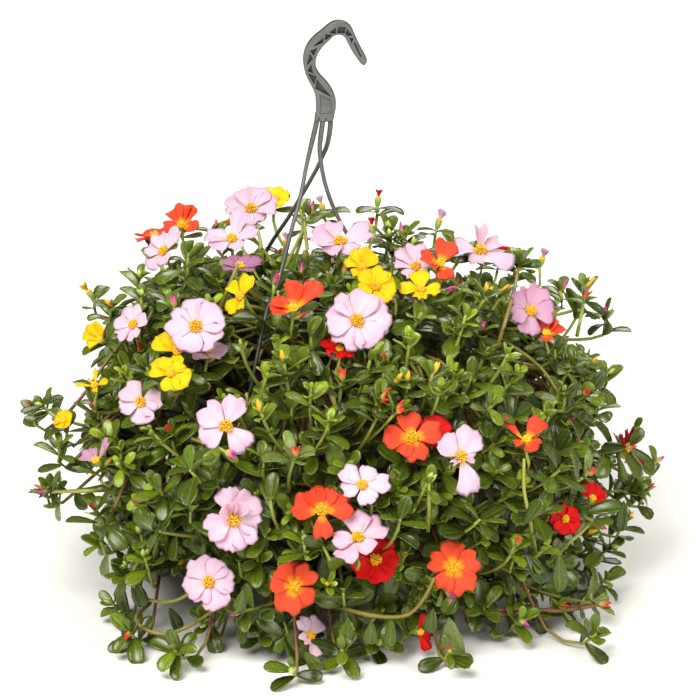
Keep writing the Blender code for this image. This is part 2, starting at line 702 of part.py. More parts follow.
def stem_line(place, tip, face, bend, count):
    """A stem from its crown to its tip, where it comes from below the direction face. A trailing one
    clears the rim and comes down outside the pot, and bend shifts its middle by a turn round the pot
    and a height."""
    _, circle, turn = place
    crown = np.array([circle * math.cos(turn), circle * math.sin(turn), SOIL_EDGE + 0.004])
    around = (math.atan2(tip[1], tip[0]) - turn + math.pi) % (2 * math.pi) - math.pi
    out = math.hypot(tip[0], tip[1])

    def at(radius, share, height):
        angle = turn + around * share + bend[0]
        return np.array([radius * math.cos(angle), radius * math.sin(angle), height + bend[1]])

    rise = CROWN_TOP - 0.003 - crown[2]
    leaving = unit((tip - crown) * [1.0, 1.0, 0.0]) * 0.6 * CROWN_RADIUS
    line = [crown + leaving + [0.0, 0.0, rise * min(tip[2] / DOME_RADII[0], 1.0)]]
    if tip[2] > HIGH_TIP:
        line.append(at(circle + 0.30 * (out - circle), 0.55, CROWN_TOP + 0.5 * (tip[2] - CROWN_TOP)))
    else:
        over = LIP_RADIUS + OVER_LIP
        arch = LOW_ARCH + (HIGH_ARCH - LOW_ARCH) * tip[2] / HIGH_TIP
        line.append(at(over, 0.50, POT_HEIGHT + arch))
        if tip[2] < LOW_TIP:
            drop = over + 0.38 * (out - over)
            line.append(at(drop, 0.75, 0.5 * (CROWN_TOP + tip[2])))
        if tip[2] < TABLE_TIP:
            line.append(at(over + 0.72 * (out - over), 0.92, TABLE_CLEAR + 0.004 - bend[1]))
    line += [neck_of(tip, face), tip]
    points = smooth_line(line, count)
    points[1:, 2] = np.maximum(points[1:, 2], TABLE_CLEAR)
    return points


def neck_of(tip, face):
    """Where a shoot turns up into its tip."""
    neck = tip - NECK * unit(face + [0.0, 0.0, 0.6])
    neck[2] = max(neck[2], TABLE_CLEAR)
    return neck


def branch_line(fork, tip, face, bend):
    """A short shoot from a fork on another stem to its own tip."""
    neck = neck_of(tip, face)
    return np.array([fork, 0.5 * (fork + neck) + bend, neck, tip])


class Room:
    """The surfaces placed so far, each with its owner, to keep new ones clear of the others."""

    def __init__(self):
        self.boxes = np.zeros((0, 6))
        self.placed = []

    def add(self, owner, points, faces):
        box = np.concatenate([points.min(axis=0), points.max(axis=0)])
        self.boxes = np.vstack([self.boxes, box])
        tree = BVHTree.FromPolygons([tuple(point) for point in points], faces)
        self.placed.append((owner, tree))

    def clear(self, points, faces, besides=()):
        """Whether these surfaces cross none of those placed, apart from those of the owners besides."""
        low = points.min(axis=0)
        high = points.max(axis=0)
        close = np.all(self.boxes[:, :3] < high, axis=1) & np.all(self.boxes[:, 3:] > low, axis=1)
        tree = None
        for index in np.nonzero(close)[0]:
            owner, other = self.placed[index]
            if owner in besides:
                continue
            if tree is None:
                tree = BVHTree.FromPolygons([tuple(point) for point in points], faces)
            if tree.overlap(other):
                return False
        return True


def tube_form(line, radius):
    """A four-sided tube round the line, used to see whether a stem is clear."""
    ahead = np.gradient(line, axis=0)
    ahead /= np.linalg.norm(ahead, axis=1)[:, None]
    side = np.cross(ahead, [0.13, 0.21, 0.97])
    side /= np.linalg.norm(side, axis=1)[:, None]
    other = np.cross(ahead, side)
    points = np.vstack([line + radius * edge for edge in (side, other, -side, -other)])
    count = len(line)
    faces = []
    for ring in range(4):
        after = (ring + 1) % 4
        for k in range(count - 1):
            faces.append((ring * count + k, after * count + k, after * count + k + 1, ring * count + k + 1))
    return points, faces


def fork_for(tip, lines, bunch):
    """The point of an earlier stem of this bunch that a shoot to this tip can branch from, or nothing."""
    best = None
    nearest = MOST_BRANCH
    for line, owner, _ in lines:
        if owner[0] != bunch or len(line) < 5:
            continue
        for share in FORKS:
            spot = share * (len(line) - 1)
            low = int(spot)
            point = line[low] + (spot - low) * (line[low + 1] - line[low])
            away = np.linalg.norm(tip - point)
            ahead = unit(tip - point).dot(unit(line[low + 1] - line[low]))
            if LEAST_BRANCH < away < nearest and ahead > 0.35:
                nearest = away
                best = point
    return best


def clear_stem(place, tip, face, room, lines, number):
    """The least bent stem or branch that is clear of all else once it has left its root, or nothing."""
    draw = np.random.default_rng([SEED, 3, number])
    own = [owner for owner, _ in room.placed if owner[0] == place[0]]
    fork = fork_for(tip, lines, place[0])
    count = 5 if tip[2] > HIGH_TIP else 6
    for trial in range(BRANCH_TRIALS + STEM_TRIALS):
        branch = fork is not None and trial < BRANCH_TRIALS
        size = min(TRIAL_BEND * (trial % BRANCH_TRIALS), MOST_BEND)
        if branch:
            line = branch_line(fork, tip, face, draw.uniform(-size, size, 3))
            beyond = line[1:].copy()
        else:
            bend = draw.uniform(-size, size, 2) * np.array([6.0, 1.0])
            if tip[2] < HIGH_TIP:
                bend[1] = abs(bend[1])
            line = stem_line(place, tip, face, bend, count)
            beyond = smooth_line(line, 3 * count)[3:]
        beyond[-1] = 0.5 * (beyond[-1] + beyond[-2])
        whole = tube_form(line, 2.0 * STEM_RADIUS + GAP)
        if room.clear(*whole, besides=own) and room.clear(*tube_form(beyond, 1.5 * STEM_RADIUS)):
            return line
    return None


def in_pot(points):
    """Whether any point lies in the pot or in the soil, or under the table's top."""
    out = np.hypot(points[:, 0], points[:, 1])
    wall = LIP_RADIUS + 0.002
    return bool(np.any((out < wall) & (points[:, 2] < POT_HEIGHT + 0.002)) or points[:, 2].min() < 0.0012)


def whorls_on(line, owner, room, draw, stations):
    """Whorls of leaves clear of all else, each station given by its distance from the tip, its number
    of leaves and the lift of their tips."""
    along = np.concatenate([[0.0], np.cumsum(np.linalg.norm(np.diff(line, axis=0), axis=1))])
    found = []
    for back, leaves, lift in stations:
        spot = along[-1] - back
        centre = np.array([np.interp(spot, along, line[:, axis]) for axis in range(3)])
        before = np.array([np.interp(spot - 0.006, along, line[:, axis]) for axis in range(3)])
        axis = unit(centre - before)
        for trial in range(LEAF_TRIALS):
            length = LEAF_LENGTH * draw.uniform(0.88, 1.08) * (1.0 - 0.022 * trial)
            spin = draw.uniform(0.0, 360.0)
            fewer = 2 * trial // LEAF_TRIALS
            points, faces = whorl_form(centre, axis, length, spin, leaves - fewer, lift)
            wider = centre + (points - centre) * 1.07
            if not in_pot(points) and room.clear(wider, faces, (owner,)):
                found.append((points, faces))
                room.add((*owner, "leaves", len(found)), points, faces)
                break
    return found


def add_surface_of(room, obj):
    """Places an object's evaluated surface in the room."""
    bpy.context.view_layer.update()
    graph = bpy.context.evaluated_depsgraph_get()
    evaluated = obj.evaluated_get(graph)
    mesh = evaluated.to_mesh()
    points = np.array([evaluated.matrix_world @ vertex.co for vertex in mesh.vertices])
    room.add((obj.name,), points, [tuple(face.vertices) for face in mesh.polygons])
    evaluated.to_mesh_clear()


def make_blooms(blooms, room, collection):
    """The largest blooms become nodes of their own; the rest are returned, to join their bunch."""
    joined = []
    for colour, centre, face, radius, spin, number in blooms:
        points, faces = bloom_form(centre, face, radius, spin)
        if number < BLOOM_NODES:
            name = f"bloom_{colour}_{number + 1:02d}"
            mesh_object(name, points, faces, colour, collection)
            room.add((name,), points, faces)
        else:
            place = crown_places()[bunch_of(centre)]
            room.add((place[0], "bloom", number), points, faces)
            joined.append((place[0], colour, points, faces))
    return joined


def make_bunches(blooms, joined, room, collection):
    places = crown_places()
    pieces = {place[0]: [] for place in places}
    section = three_sided_section()
    guides = new_collection("guides")
    guides.hide_render = True
    guides.objects.link(section)
    shoots = []
    for colour, centre, face, radius, spin, number in blooms:
        sunk = 0.5 * CALYX
        if number < BLOOM_NODES:
            sunk = CALYX + GAP
        if LEAFLESS_BLOOMS <= number < BLOOM_NODES:
            sunk += BLADE / 2 + GAP
        shoots.append((centre - sunk * face, face, number))
    shoots += [(tip, face, None) for tip, face in leafy_tips(blooms)]
    shoots.sort(key=lambda shoot: -np.linalg.norm(shoot[0] - [0.0, 0.0, CROWN_TOP]))
    lines = []
    for index, (tip, face, number) in enumerate(shoots):
        place = places[bunch_of(tip)]
        line = clear_stem(place, tip, face, room, lines, index)
        if line is None:
            continue
        owner = (place[0], index)
        room.add(owner, *tube_form(line, STEM_RADIUS))
        lines.append((line, owner, number))
    for line, owner, number in lines:
        draw = np.random.default_rng([SEED, 4, owner[1]])
        stations = LEAFY_STATIONS if number is None else BLOOM_STATIONS
        if number is not None and number < LEAFLESS_BLOOMS:
            stations = []
        pieces[owner[0]].append((line, whorls_on(line, owner, room, draw, stations)))
    for place in places:
        bunch = prism(place[0], CROWN_RADIUS, CROWN_FOOT, CROWN_TOP, place, "leaf", collection)
        growth = new_collection("growth")
        for line, leaves in pieces[place[0]]:
            root = 1.35 if len(line) > 4 else 0.9
            radii = np.linspace(root * STEM_RADIUS, STEM_RADIUS, len(line))
            rod("stem", line, radii, "leaf", growth, section)
            for points, faces in leaves:
                mesh_object("leaf", points, faces, "leaf", growth)
        for owner, colour, points, faces in joined:
            if owner == place[0]:
                mesh_object("bloom", points, faces, colour, growth)
        keep_main_body(cut_by(bunch, "Growth", growth, "UNION", "MANIFOLD"))


def main():
    clear_scene()
    collection = new_collection("portulaca_hanging_basket")
    room = Room()
    for obj in (make_pot(collection), make_soil(collection), make_hanger(collection)):
        if obj.name != "soil":
            add_surface_of(room, obj)
    blooms = petal_sprays()
    joined = make_blooms(blooms, room, collection)
    make_bunches(blooms, joined, room, collection)


main()
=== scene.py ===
"""The looks of a portulaca hanging basket that stands on a table.

A black pot full of soil carries a mound of fleshy leaves on reddish stems, with pink, orange, red and
yellow blooms, buds and spent flowers, under a grey moulded hook on three slack arms.
"""

import math

import bmesh
import bpy
import numpy as np
from mathutils import Matrix, Vector


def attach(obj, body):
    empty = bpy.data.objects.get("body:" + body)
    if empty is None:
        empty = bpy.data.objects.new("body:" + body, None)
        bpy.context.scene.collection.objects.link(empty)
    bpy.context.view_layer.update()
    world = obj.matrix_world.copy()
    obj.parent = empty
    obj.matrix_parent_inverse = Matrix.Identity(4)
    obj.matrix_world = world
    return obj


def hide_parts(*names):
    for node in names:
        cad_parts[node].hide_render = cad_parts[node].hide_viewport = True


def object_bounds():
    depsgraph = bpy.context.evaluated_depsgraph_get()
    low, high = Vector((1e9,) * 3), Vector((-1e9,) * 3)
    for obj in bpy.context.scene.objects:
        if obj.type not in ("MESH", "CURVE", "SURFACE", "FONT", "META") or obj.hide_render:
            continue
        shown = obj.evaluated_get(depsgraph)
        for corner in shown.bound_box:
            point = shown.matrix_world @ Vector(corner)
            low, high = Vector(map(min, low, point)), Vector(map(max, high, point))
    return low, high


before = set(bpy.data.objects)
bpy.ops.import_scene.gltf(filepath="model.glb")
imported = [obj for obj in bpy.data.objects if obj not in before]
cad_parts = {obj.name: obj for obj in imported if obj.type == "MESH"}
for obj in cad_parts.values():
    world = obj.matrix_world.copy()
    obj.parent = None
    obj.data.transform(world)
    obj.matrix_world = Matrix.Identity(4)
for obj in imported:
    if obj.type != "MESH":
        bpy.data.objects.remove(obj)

CAD_BOX = np.array(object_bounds())
SEED = 41
NO_TRIANGLES = np.zeros((0, 3), int)
NO_QUADS = np.zeros((0, 4), int)

# Pot, soil and crowns, as the solids have them
POT_HEIGHT = 0.155
BASE_RADIUS = 0.088
RIM_RADIUS = 0.1222
LIP_RADIUS = 0.128
LIP_HEIGHT = 0.0045
POT_WALL = 0.0020
POT_FLOOR = 0.0025
DRAIN_HOLES = 6
DRAIN_RADIUS = 0.005
DRAIN_CIRCLE = 0.058
SOIL_EDGE = 0.141
SOIL_MIDDLE = 0.146
CROWN_RADIUS = 0.0085
CROWN_TOP = 0.160
INNER_CROWNS = 4
INNER_CIRCLE = 0.040
OUTER_CROWNS = 9
OUTER_CIRCLE = 0.088
INNER_REACH = 0.170
INNER_HEIGHT = 0.205
GAP = 0.0003

# Finer shape of the pot and the soil: points round, the pot's moulded rings and roundings, the soil's rings
POT_SIDES = 144
RING_HEIGHTS = (0.104, 0.124)
RING_HALF = 0.0012
RING_RAISED = 0.0004
LIP_ROUND = 0.0006
FOOT_ROUND = 0.0008
SOIL_SIDES = 160
SOIL_RINGS = 46
SOIL_AXIS = 0.0015

# Dome that the shoots grow out to, and how low they come
DOME_MIDDLE = np.array([0.0, 0.0, 0.105])
DOME_RADII = np.array([0.250, 0.246, 0.180])
HIGH_TIP = 0.178
LOW_TIP = 0.100
TABLE_TIP = 0.045
LOWEST_TIP = 0.020
TABLE_CLEAR = 0.0042
OVER_LIP = 0.008
LOW_ARCH = 0.011
HIGH_ARCH = 0.056

# Stems, leaves and blooms
CALYX = 0.006
NECK = 0.020
BLOOM_NODES = 44
BACK_BLOOMS = 14
BACK_RADII = (0.016, 0.023)
BLOOM_ROOM = 0.030
STEM_POINTS = 18
SIDE_POINTS = 9
STEM_SIDES = 5
STEM_SWING = 0.0045
SIDE_LENGTH = 0.070
LEAST_REACH = 0.035
ROOT_RADIUS = 0.0018
TIP_RADIUS = 0.0013
SIDE_RADIUS = 0.0014
BARE_RADIUS = 0.0017
OUTER_SHOOTS = 520
UNDER_SHOOTS = 95
BACK_SHOOTS = 80
LEAFY_TIPS = 110
YOUNG_SHARE = 0.26
LARGE_SHARE = 0.22
PLACE_SPREAD = 0.03
GREEN_ABOVE = 0.60
MAIN_LEAVES = 12
TIP_CLUSTER = 0.024
SINK_STEPS = 10
SINK = 0.05
MOVE_IN = 0.95
LOWEST_PLACE = 0.012
SIDE_LEAVES = 8
LEAST_LEAVES = 4
BARE_NECK = (0.009, 0.032)
LEAF_CLEAR = 0.0016
FLESH_CLEAR = 0.0004

# Hanger
HOOK_THICKNESS = 0.0066
POCKET_DEPTH = 0.0026
POCKET_GROWTH = 1.30
PANEL_DEPTH = 0.0010
# Height above which the hook's recesses get painted shade
HOOK_FOOT = 0.372
ARM_RADIUS = 0.0017
CLEAR_ARMS = 400
CLIP_WIDTH = 0.012
CLIP_WALL = 0.0027
CLIP_REACH = 0.009
CLIP_LIP = 0.004
CLIP_ROUND = 0.0005
OUTER_POINTS = 90
INNER_POINTS = 72
ARM_POINTS = 90
ARM_SIDES = 14
SHARP_ANGLE = math.radians(35)
HOOK_ROUND = 0.0012
GROOVE_DEPTH = 0.0014

# Front view: everything that the photograph places is laid out from in front, 20 degrees up, on a
# picture of 696 pixels, 0.8 mm across each at the basket
VIEW_LIFT = math.radians(20)
VIEW_DISTANCE = 2.4
VIEW_TARGET = np.array([0.0144, 0.0, 0.172])
PIXEL = 0.0008
PICTURE_SIDE = 696
TO_EYE = np.array([0.0, -math.cos(VIEW_LIFT), math.sin(VIEW_LIFT)])
PICTURE_RIGHT = np.array([1.0, 0.0, 0.0])
PICTURE_UP = np.array([0.0, math.sin(VIEW_LIFT), math.cos(VIEW_LIFT)])
EYE = VIEW_TARGET + VIEW_DISTANCE * TO_EYE
SENSOR = 36.0

HOOK_OUTER = [
    (315.5, 121), (315.8, 104), (314.8, 93), (311, 84.6), (306, 74.6), (303.6, 65), (303, 56.4),
    (305.5, 47), (311, 38.5), (319.6, 31), (329.5, 23), (335, 20.6), (341, 20.2), (347, 22.6),
    (351.4, 27.4), (354.4, 34), (359.4, 44.8), (364.4, 54), (366.8, 59.7), (366, 63.2), (363.4, 64.6),
]
HOOK_INNER = [
    (360.8, 62.9), (354.4, 54), (349.4, 45.6), (345.6, 38.2), (342, 34.6), (335.2, 34.6), (329.5, 39.6),
    (323, 46), (318, 53), (315.8, 60.5), (316.4, 68), (320.4, 74.6), (327.6, 82.5), (332.2, 89.5),
    (335.2, 97), (336, 105), (334.6, 114), (333, 121),
]
HOOK_POCKETS = [
    [(319.6, 93.6), (331.0, 98.6), (332.0, 104.0), (331.6, 112.6), (319.6, 112.6), (320.2, 100.0)],
    [(317.8, 79.9), (316.7, 87.4), (329.3, 94.1)],
    [(308.9, 73.3), (315.8, 75.8), (313.9, 82.0)],
    [(311.2, 64.1), (308.1, 69.5), (312.7, 71.6)],
    [(309.8, 53.3), (312.3, 57.8), (307.4, 63.3)],
    [(316.8, 47.4), (311.0, 49.9), (313.7, 53.7)],
    [(322.7, 37.4), (322.5, 41.6), (318.4, 43.2), (314.2, 44.7)],
    [(325.6, 33.7), (331.4, 34.1), (325.6, 38.7)],
    [(335.8, 27.0), (335.2, 32.4), (330.2, 31.2)],
    [(338.9, 26.6), (345.0, 26.6), (343.9, 31.6), (338.1, 31.2)],
    [(347.3, 28.7), (351.4, 33.7), (347.7, 34.5), (346.0, 32.0)],
    [(349.8, 37.4), (353.1, 37.4), (351.8, 41.6)],
    [(354.3, 43.3), (356.0, 43.3), (360.6, 53.7), (359.8, 54.5)],
]
# Grooves that part the block's foot into three fingers
HOOK_GROOVES = [
    [(318.0, 116.2), (319.6, 116.2), (319.8, 124.0), (318.0, 124.0)],
    [(325.2, 117.2), (326.8, 117.2), (327.4, 124.0), (325.6, 124.0)],
]
ARMS = {
    "front": [
        (317.6, 113, 0.0), (316.2, 124, 0.0), (311, 146, -0.003), (306, 168, -0.008), (301, 194, -0.017),
        (291, 232, -0.034), (284, 260, -0.048), (277, 285, -0.060), (269, 304, -0.068),
        (264, 323, -0.077), (256, 361, -0.093), (250, 390, -0.103),
    ],
    "right": [
        (323.4, 113, 0.0), (322.4, 124, -0.001), (319.8, 146, -0.004), (321, 163, -0.007),
        (325, 183, -0.009), (332, 204, -0.010), (343, 227, -0.011), (357, 249, -0.011),
        (372, 272, -0.010), (398, 303, -0.009), (432, 333, -0.007), (466, 356, -0.005),
    ],
    "back": [
        (329.6, 113, 0.0), (330.5, 124, 0.001), (327.4, 144, 0.004), (322, 157, 0.007),
        (316.6, 169, 0.011), (307.7, 185, 0.017), (300, 198, 0.023), (288, 218, 0.035),
        (273, 240, 0.050), (261.5, 260, 0.066), (253, 277, 0.082), (250, 294, 0.096),
    ],
}
CLIP_TURNS = {"front": math.radians(-122), "right": math.radians(-2), "back": math.radians(118)}

# Blooms: colour, picture place, width, turn to the right and lift in degrees from facing the eye, and
# how far each sits behind the dome's surface
FRONT_BLOOMS = [
    ("pink", 251, 210, 0.042, 0, 40, 0.0), ("pink", 164, 252, 0.034, -35, 25, 0.0),
    ("pink", 232, 240, 0.039, -10, 50, 0.0), ("pink", 240, 268, 0.033, 0, 68, 0.012),
    ("pink", 340, 243, 0.045, 0, 50, 0.0), ("pink", 416, 268, 0.036, -10, 45, 0.010),
    ("pink", 480, 252, 0.048, 15, 45, 0.0), ("pink", 530, 311, 0.039, 25, 12, 0.0),
    ("pink", 196, 327, 0.046, -10, 20, -0.013), ("pink", 357, 321, 0.049, 0, 15, 0.0),
    ("pink", 141, 402, 0.034, -10, 10, 0.0), ("pink", 226, 426, 0.044, 0, 5, 0.0),
    ("pink", 460, 457, 0.044, 28, 5, -0.008), ("pink", 233, 520, 0.046, 12, 5, 0.0),
    ("pink", 362, 485, 0.035, 0, 20, 0.0), ("pink", 358, 539, 0.042, 0, 45, -0.008),
    ("pink", 209, 582, 0.040, -10, 10, 0.0), ("pink", 134, 325, 0.032, -40, 20, 0.0),
    ("pink", 97, 461, 0.028, -50, 30, 0.0), ("pink", 207, 352, 0.032, 0, 60, 0.026),
    ("pink", 310, 636, 0.030, 50, 20, 0.0),
    ("orange", 182, 226, 0.031, -20, 40, 0.0), ("orange", 293, 310, 0.034, 10, 48, 0.0),
    ("orange", 440, 264, 0.031, 30, 35, -0.010), ("orange", 412, 438, 0.042, 0, 25, 0.0),
    ("orange", 322, 511, 0.046, 0, 25, 0.0), ("orange", 294, 586, 0.038, 15, 5, 0.0),
    ("orange", 453, 567, 0.041, 0, 5, 0.0), ("orange", 526, 441, 0.030, 20, 50, 0.0),
    ("orange", 546, 335, 0.028, 20, 62, 0.014),
    ("red", 340, 350, 0.026, 0, 52, 0.022), ("red", 434, 433, 0.028, 10, 20, 0.014),
    ("red", 375, 560, 0.040, 10, 15, 0.022), ("red", 565, 519, 0.026, 20, 10, 0.012),
    ("red", 592, 499, 0.024, 30, 40, 0.010), ("red", 626, 448, 0.030, 50, 10, 0.0),
    ("red", 419, 632, 0.022, 55, -5, 0.0),
    ("yellow", 275, 199, 0.028, 0, 50, 0.020), ("yellow", 241, 297, 0.030, -45, 20, 0.0),
    ("yellow", 362, 268, 0.029, -10, 30, 0.004), ("yellow", 375, 287, 0.032, 10, 25, -0.008),
    ("yellow", 421, 290, 0.028, 0, 42, 0.0), ("yellow", 177, 352, 0.033, 0, 35, -0.003),
    ("yellow", 170, 374, 0.030, 0, 28, -0.016), ("yellow", 101, 340, 0.022, -45, 10, 0.0),
    ("yellow", 95, 386, 0.023, -30, 45, 0.0), ("yellow", 64, 421, 0.018, -40, 30, 0.0),
]
BACK_COLOURS = ["pink", "orange", "pink", "yellow", "pink", "red"]

# Petals of the blooms that aren't plain, by the bloom's picture place. For each petal: its direction in
# degrees from the bloom's top, counter-clockwise as the bloom faces us; its reach over the bloom's
# radius; half its spread, in degrees; and how far its end stands up, over the radius
PETALS = {
    (251, 210): [(85, 1.05, 42, 0.25), (25, 0.95, 40, 0.35), (330, 1.00, 40, 0.40), (275, 1.05, 42, 0.25),
                 (150, 0.95, 42, 0.10), (212, 0.80, 40, 0.10)],
    (164, 252): [(335, 1.25, 22, 0.50), (40, 0.95, 35, 0.40), (95, 1.00, 38, 0.20), (150, 1.10, 36, 0.10),
                 (215, 0.80, 40, 0.20)],
    (232, 240): [(345, 1.20, 26, 0.70), (290, 1.10, 28, 0.35), (75, 1.15, 36, 0.15), (130, 1.00, 36, 0.05),
                 (215, 0.80, 36, 0.10)],
    (240, 268): [(60, 1.00, 44, 0.35), (350, 0.90, 40, 0.40), (280, 1.10, 44, 0.30), (130, 0.90, 40, 0.20),
                 (215, 0.90, 40, 0.20)],
    (340, 243): [(85, 1.05, 46, 0.30), (25, 0.80, 34, 0.45), (290, 1.20, 34, 0.30), (150, 0.80, 40, 0.10),
                 (220, 0.80, 40, 0.10)],
    (416, 268): [(40, 1.20, 34, 0.40), (5, 1.10, 30, 0.50), (75, 1.00, 34, 0.20), (150, 0.75, 36, 0.10),
                 (215, 0.75, 36, 0.10), (290, 0.90, 36, 0.30)],
    (480, 252): [(80, 1.10, 32, 0.25), (350, 0.68, 30, 0.60), (245, 1.20, 32, 0.00), (290, 0.80, 30, 0.20),
                 (150, 0.70, 34, 0.10)],
    (530, 311): [(30, 1.05, 38, 0.20), (325, 1.10, 38, 0.25), (255, 1.05, 36, 0.15), (160, 1.05, 38, 0.10),
                 (95, 0.95, 34, 0.20)],
    (196, 327): [(10, 1.00, 46, 0.15), (300, 1.02, 46, 0.20), (230, 1.00, 46, 0.12), (160, 0.98, 46, 0.10),
                 (85, 1.00, 46, 0.15)],
    (357, 321): [(20, 1.00, 44, 0.20), (335, 0.95, 40, 0.30), (280, 1.08, 42, 0.15), (220, 1.00, 44, 0.12),
                 (150, 1.00, 44, 0.10), (90, 0.98, 44, 0.15)],
    (141, 402): [(45, 1.05, 44, 0.30), (285, 1.00, 40, 0.20), (190, 1.05, 42, 0.05), (110, 1.00, 36, 0.15),
                 (235, 0.85, 36, 0.10)],
    (226, 426): [(335, 1.08, 30, 0.12), (55, 1.05, 40, 0.12), (120, 1.00, 36, 0.10), (225, 1.12, 32, 0.05)],
    (460, 457): [(40, 1.00, 36, 0.15), (320, 1.10, 40, 0.20), (190, 1.35, 24, 0.00), (110, 0.50, 20, 0.20),
                 (250, 0.60, 24, 0.10)],
    (233, 520): [(5, 1.10, 30, 0.10), (310, 1.10, 34, 0.10), (255, 0.90, 36, 0.10), (205, 1.00, 36, 0.10),
                 (165, 1.05, 34, 0.10), (105, 1.00, 36, 0.10), (30, 0.62, 44, 0.55), (335, 0.62, 44, 0.50)],
    (362, 485): [(50, 1.10, 34, 0.20), (330, 0.90, 36, 0.20), (275, 1.20, 28, 0.10), (205, 0.95, 38, 0.10),
                 (110, 0.90, 38, 0.10)],
    (358, 539): [(5, 1.10, 40, 0.35), (300, 1.15, 36, 0.20), (100, 0.95, 38, 0.20), (150, 1.15, 30, 0.00),
                 (215, 0.80, 42, 0.05)],
    (209, 582): [(35, 1.05, 42, 0.15), (335, 0.95, 40, 0.20), (275, 1.02, 40, 0.15), (210, 1.15, 38, 0.10),
                 (110, 1.00, 42, 0.10), (160, 0.90, 36, 0.10)],
    (134, 325): [(20, 1.00, 40, 0.30), (80, 1.10, 42, 0.20), (140, 1.05, 42, 0.15), (210, 0.90, 40, 0.20),
                 (300, 0.90, 36, 0.30)],
    (97, 461): [(330, 1.30, 20, 0.80), (95, 1.30, 24, 0.20), (40, 0.70, 24, 0.50)],
    (310, 636): [(10, 1.10, 36, 0.30), (300, 1.10, 36, 0.30), (170, 1.20, 34, 0.20), (95, 0.90, 30, 0.30)],
    (182, 226): [(50, 1.00, 40, 0.55), (10, 1.05, 34, 0.65), (325, 1.10, 26, 0.70), (110, 1.00, 40, 0.20),
                 (260, 1.00, 36, 0.30)],
    (293, 310): [(300, 1.50, 24, 0.90), (60, 1.00, 34, 0.40), (100, 1.10, 34, 0.20), (350, 1.10, 30, 0.80)],
    (440, 264): [(60, 1.15, 34, 0.30), (320, 1.30, 36, 0.50), (180, 1.00, 38, 0.00), (110, 0.70, 30, 0.20)],
    (412, 438): [(10, 1.00, 34, 0.12), (88, 1.05, 36, 0.10), (150, 0.80, 34, 0.10), (200, 0.95, 34, 0.10),
                 (282, 1.10, 34, 0.12)],
    (322, 511): [(28, 0.85, 36, 0.12), (340, 0.85, 34, 0.15), (283, 1.00, 36, 0.12), (180, 1.00, 24, 0.10),
                 (82, 1.00, 38, 0.12)],
    (294, 586): [(12, 1.05, 38, 0.20), (68, 1.00, 42, 0.15), (308, 1.00, 40, 0.30), (152, 1.15, 40, 0.10),
                 (215, 1.00, 38, 0.10)],
    (453, 567): [(5, 1.00, 34, 0.12), (75, 0.95, 34, 0.12), (150, 0.95, 34, 0.10), (210, 1.10, 38, 0.10),
                 (285, 1.00, 38, 0.12)],
    (526, 441): [(40, 1.50, 16, 0.70), (310, 1.40, 28, 0.70), (185, 0.80, 40, 0.00), (100, 0.80, 34, 0.20),
                 (240, 0.80, 36, 0.10)],
    (546, 335): [(60, 1.10, 26, 0.50), (20, 0.90, 26, 0.70), (320, 0.90, 26, 0.70), (285, 1.10, 26, 0.40),
                 (180, 0.80, 40, 0.10)],
    (340, 350): [(60, 1.20, 36, 0.30), (240, 1.10, 40, 0.30), (200, 0.90, 36, 0.20), (110, 0.90, 30, 0.20)],
    (592, 499): [(0, 1.10, 40, 0.50), (300, 1.10, 44, 0.30), (230, 1.00, 40, 0.20), (60, 0.80, 34, 0.40)],
    (626, 448): [(45, 1.20, 12, 0.70), (20, 1.00, 10, 0.90), (340, 1.00, 14, 0.80), (200, 1.20, 12, 0.30)],
    (419, 632): [(0, 1.30, 30, 0.60), (180, 1.40, 30, 0.40), (230, 1.00, 24, 0.40)],
    (241, 297): [(355, 1.20, 36, 0.35), (60, 0.90, 30, 0.40), (165, 1.10, 34, 0.10), (215, 0.80, 34, 0.10)],
    (362, 268): [(10, 1.10, 44, 0.40), (60, 1.00, 40, 0.30), (310, 1.00, 36, 0.40), (140, 0.70, 36, 0.10),
                 (220, 0.70, 36, 0.10)],
    (375, 287): [(35, 1.00, 36, 0.30), (330, 1.00, 40, 0.30), (260, 1.05, 40, 0.15), (200, 1.05, 40, 0.10),
                 (110, 0.90, 36, 0.20)],
    (421, 290): [(5, 1.15, 40, 0.40), (85, 1.20, 36, 0.15), (265, 1.10, 30, 0.20), (150, 0.70, 38, 0.10),
                 (215, 0.70, 38, 0.10)],
    (177, 352): [(60, 1.20, 36, 0.30), (300, 1.15, 36, 0.30), (10, 0.80, 30, 0.40), (180, 0.80, 36, 0.10)],
    (170, 374): [(70, 1.10, 42, 0.15), (25, 0.90, 36, 0.25), (240, 1.15, 46, 0.10), (180, 1.00, 42, 0.10),
                 (310, 0.90, 36, 0.20)],
    (101, 340): [(30, 1.20, 36, 0.80), (80, 1.30, 36, 0.70), (340, 1.10, 36, 0.90), (140, 1.00, 36, 0.50)],
    (95, 386): [(110, 1.30, 14, 0.30), (20, 1.10, 12, 0.60), (300, 1.00, 18, 0.30), (220, 0.80, 20, 0.20),
                (70, 0.70, 16, 0.40)],
}
# Blooms darkened by a painted shade, for the shade that they sit in, and how much
PAINTED_SHADE_BLOOMS = {(530, 311): 0.70, (240, 268): 0.45, (97, 461): 0.65, (207, 352): 0.85, (626, 448): 0.30}

# Leafy shoot tips along the plant's outline
OUTLINE_TIPS = [
    (300, 208), (389, 229), (455, 243), (512, 262), (560, 290), (585, 287), (604, 314), (606, 372),
    (596, 404), (655, 462), (645, 492), (624, 522), (610, 548), (606, 580), (597, 634), (558, 606),
    (520, 620), (486, 606), (450, 652), (380, 640), (342, 650), (292, 668), (258, 634), (205, 622),
    (174, 650), (128, 632), (112, 604), (126, 566), (100, 540), (97, 506), (46, 490), (34, 408),
    (60, 445), (112, 306), (140, 278), (216, 232),
]

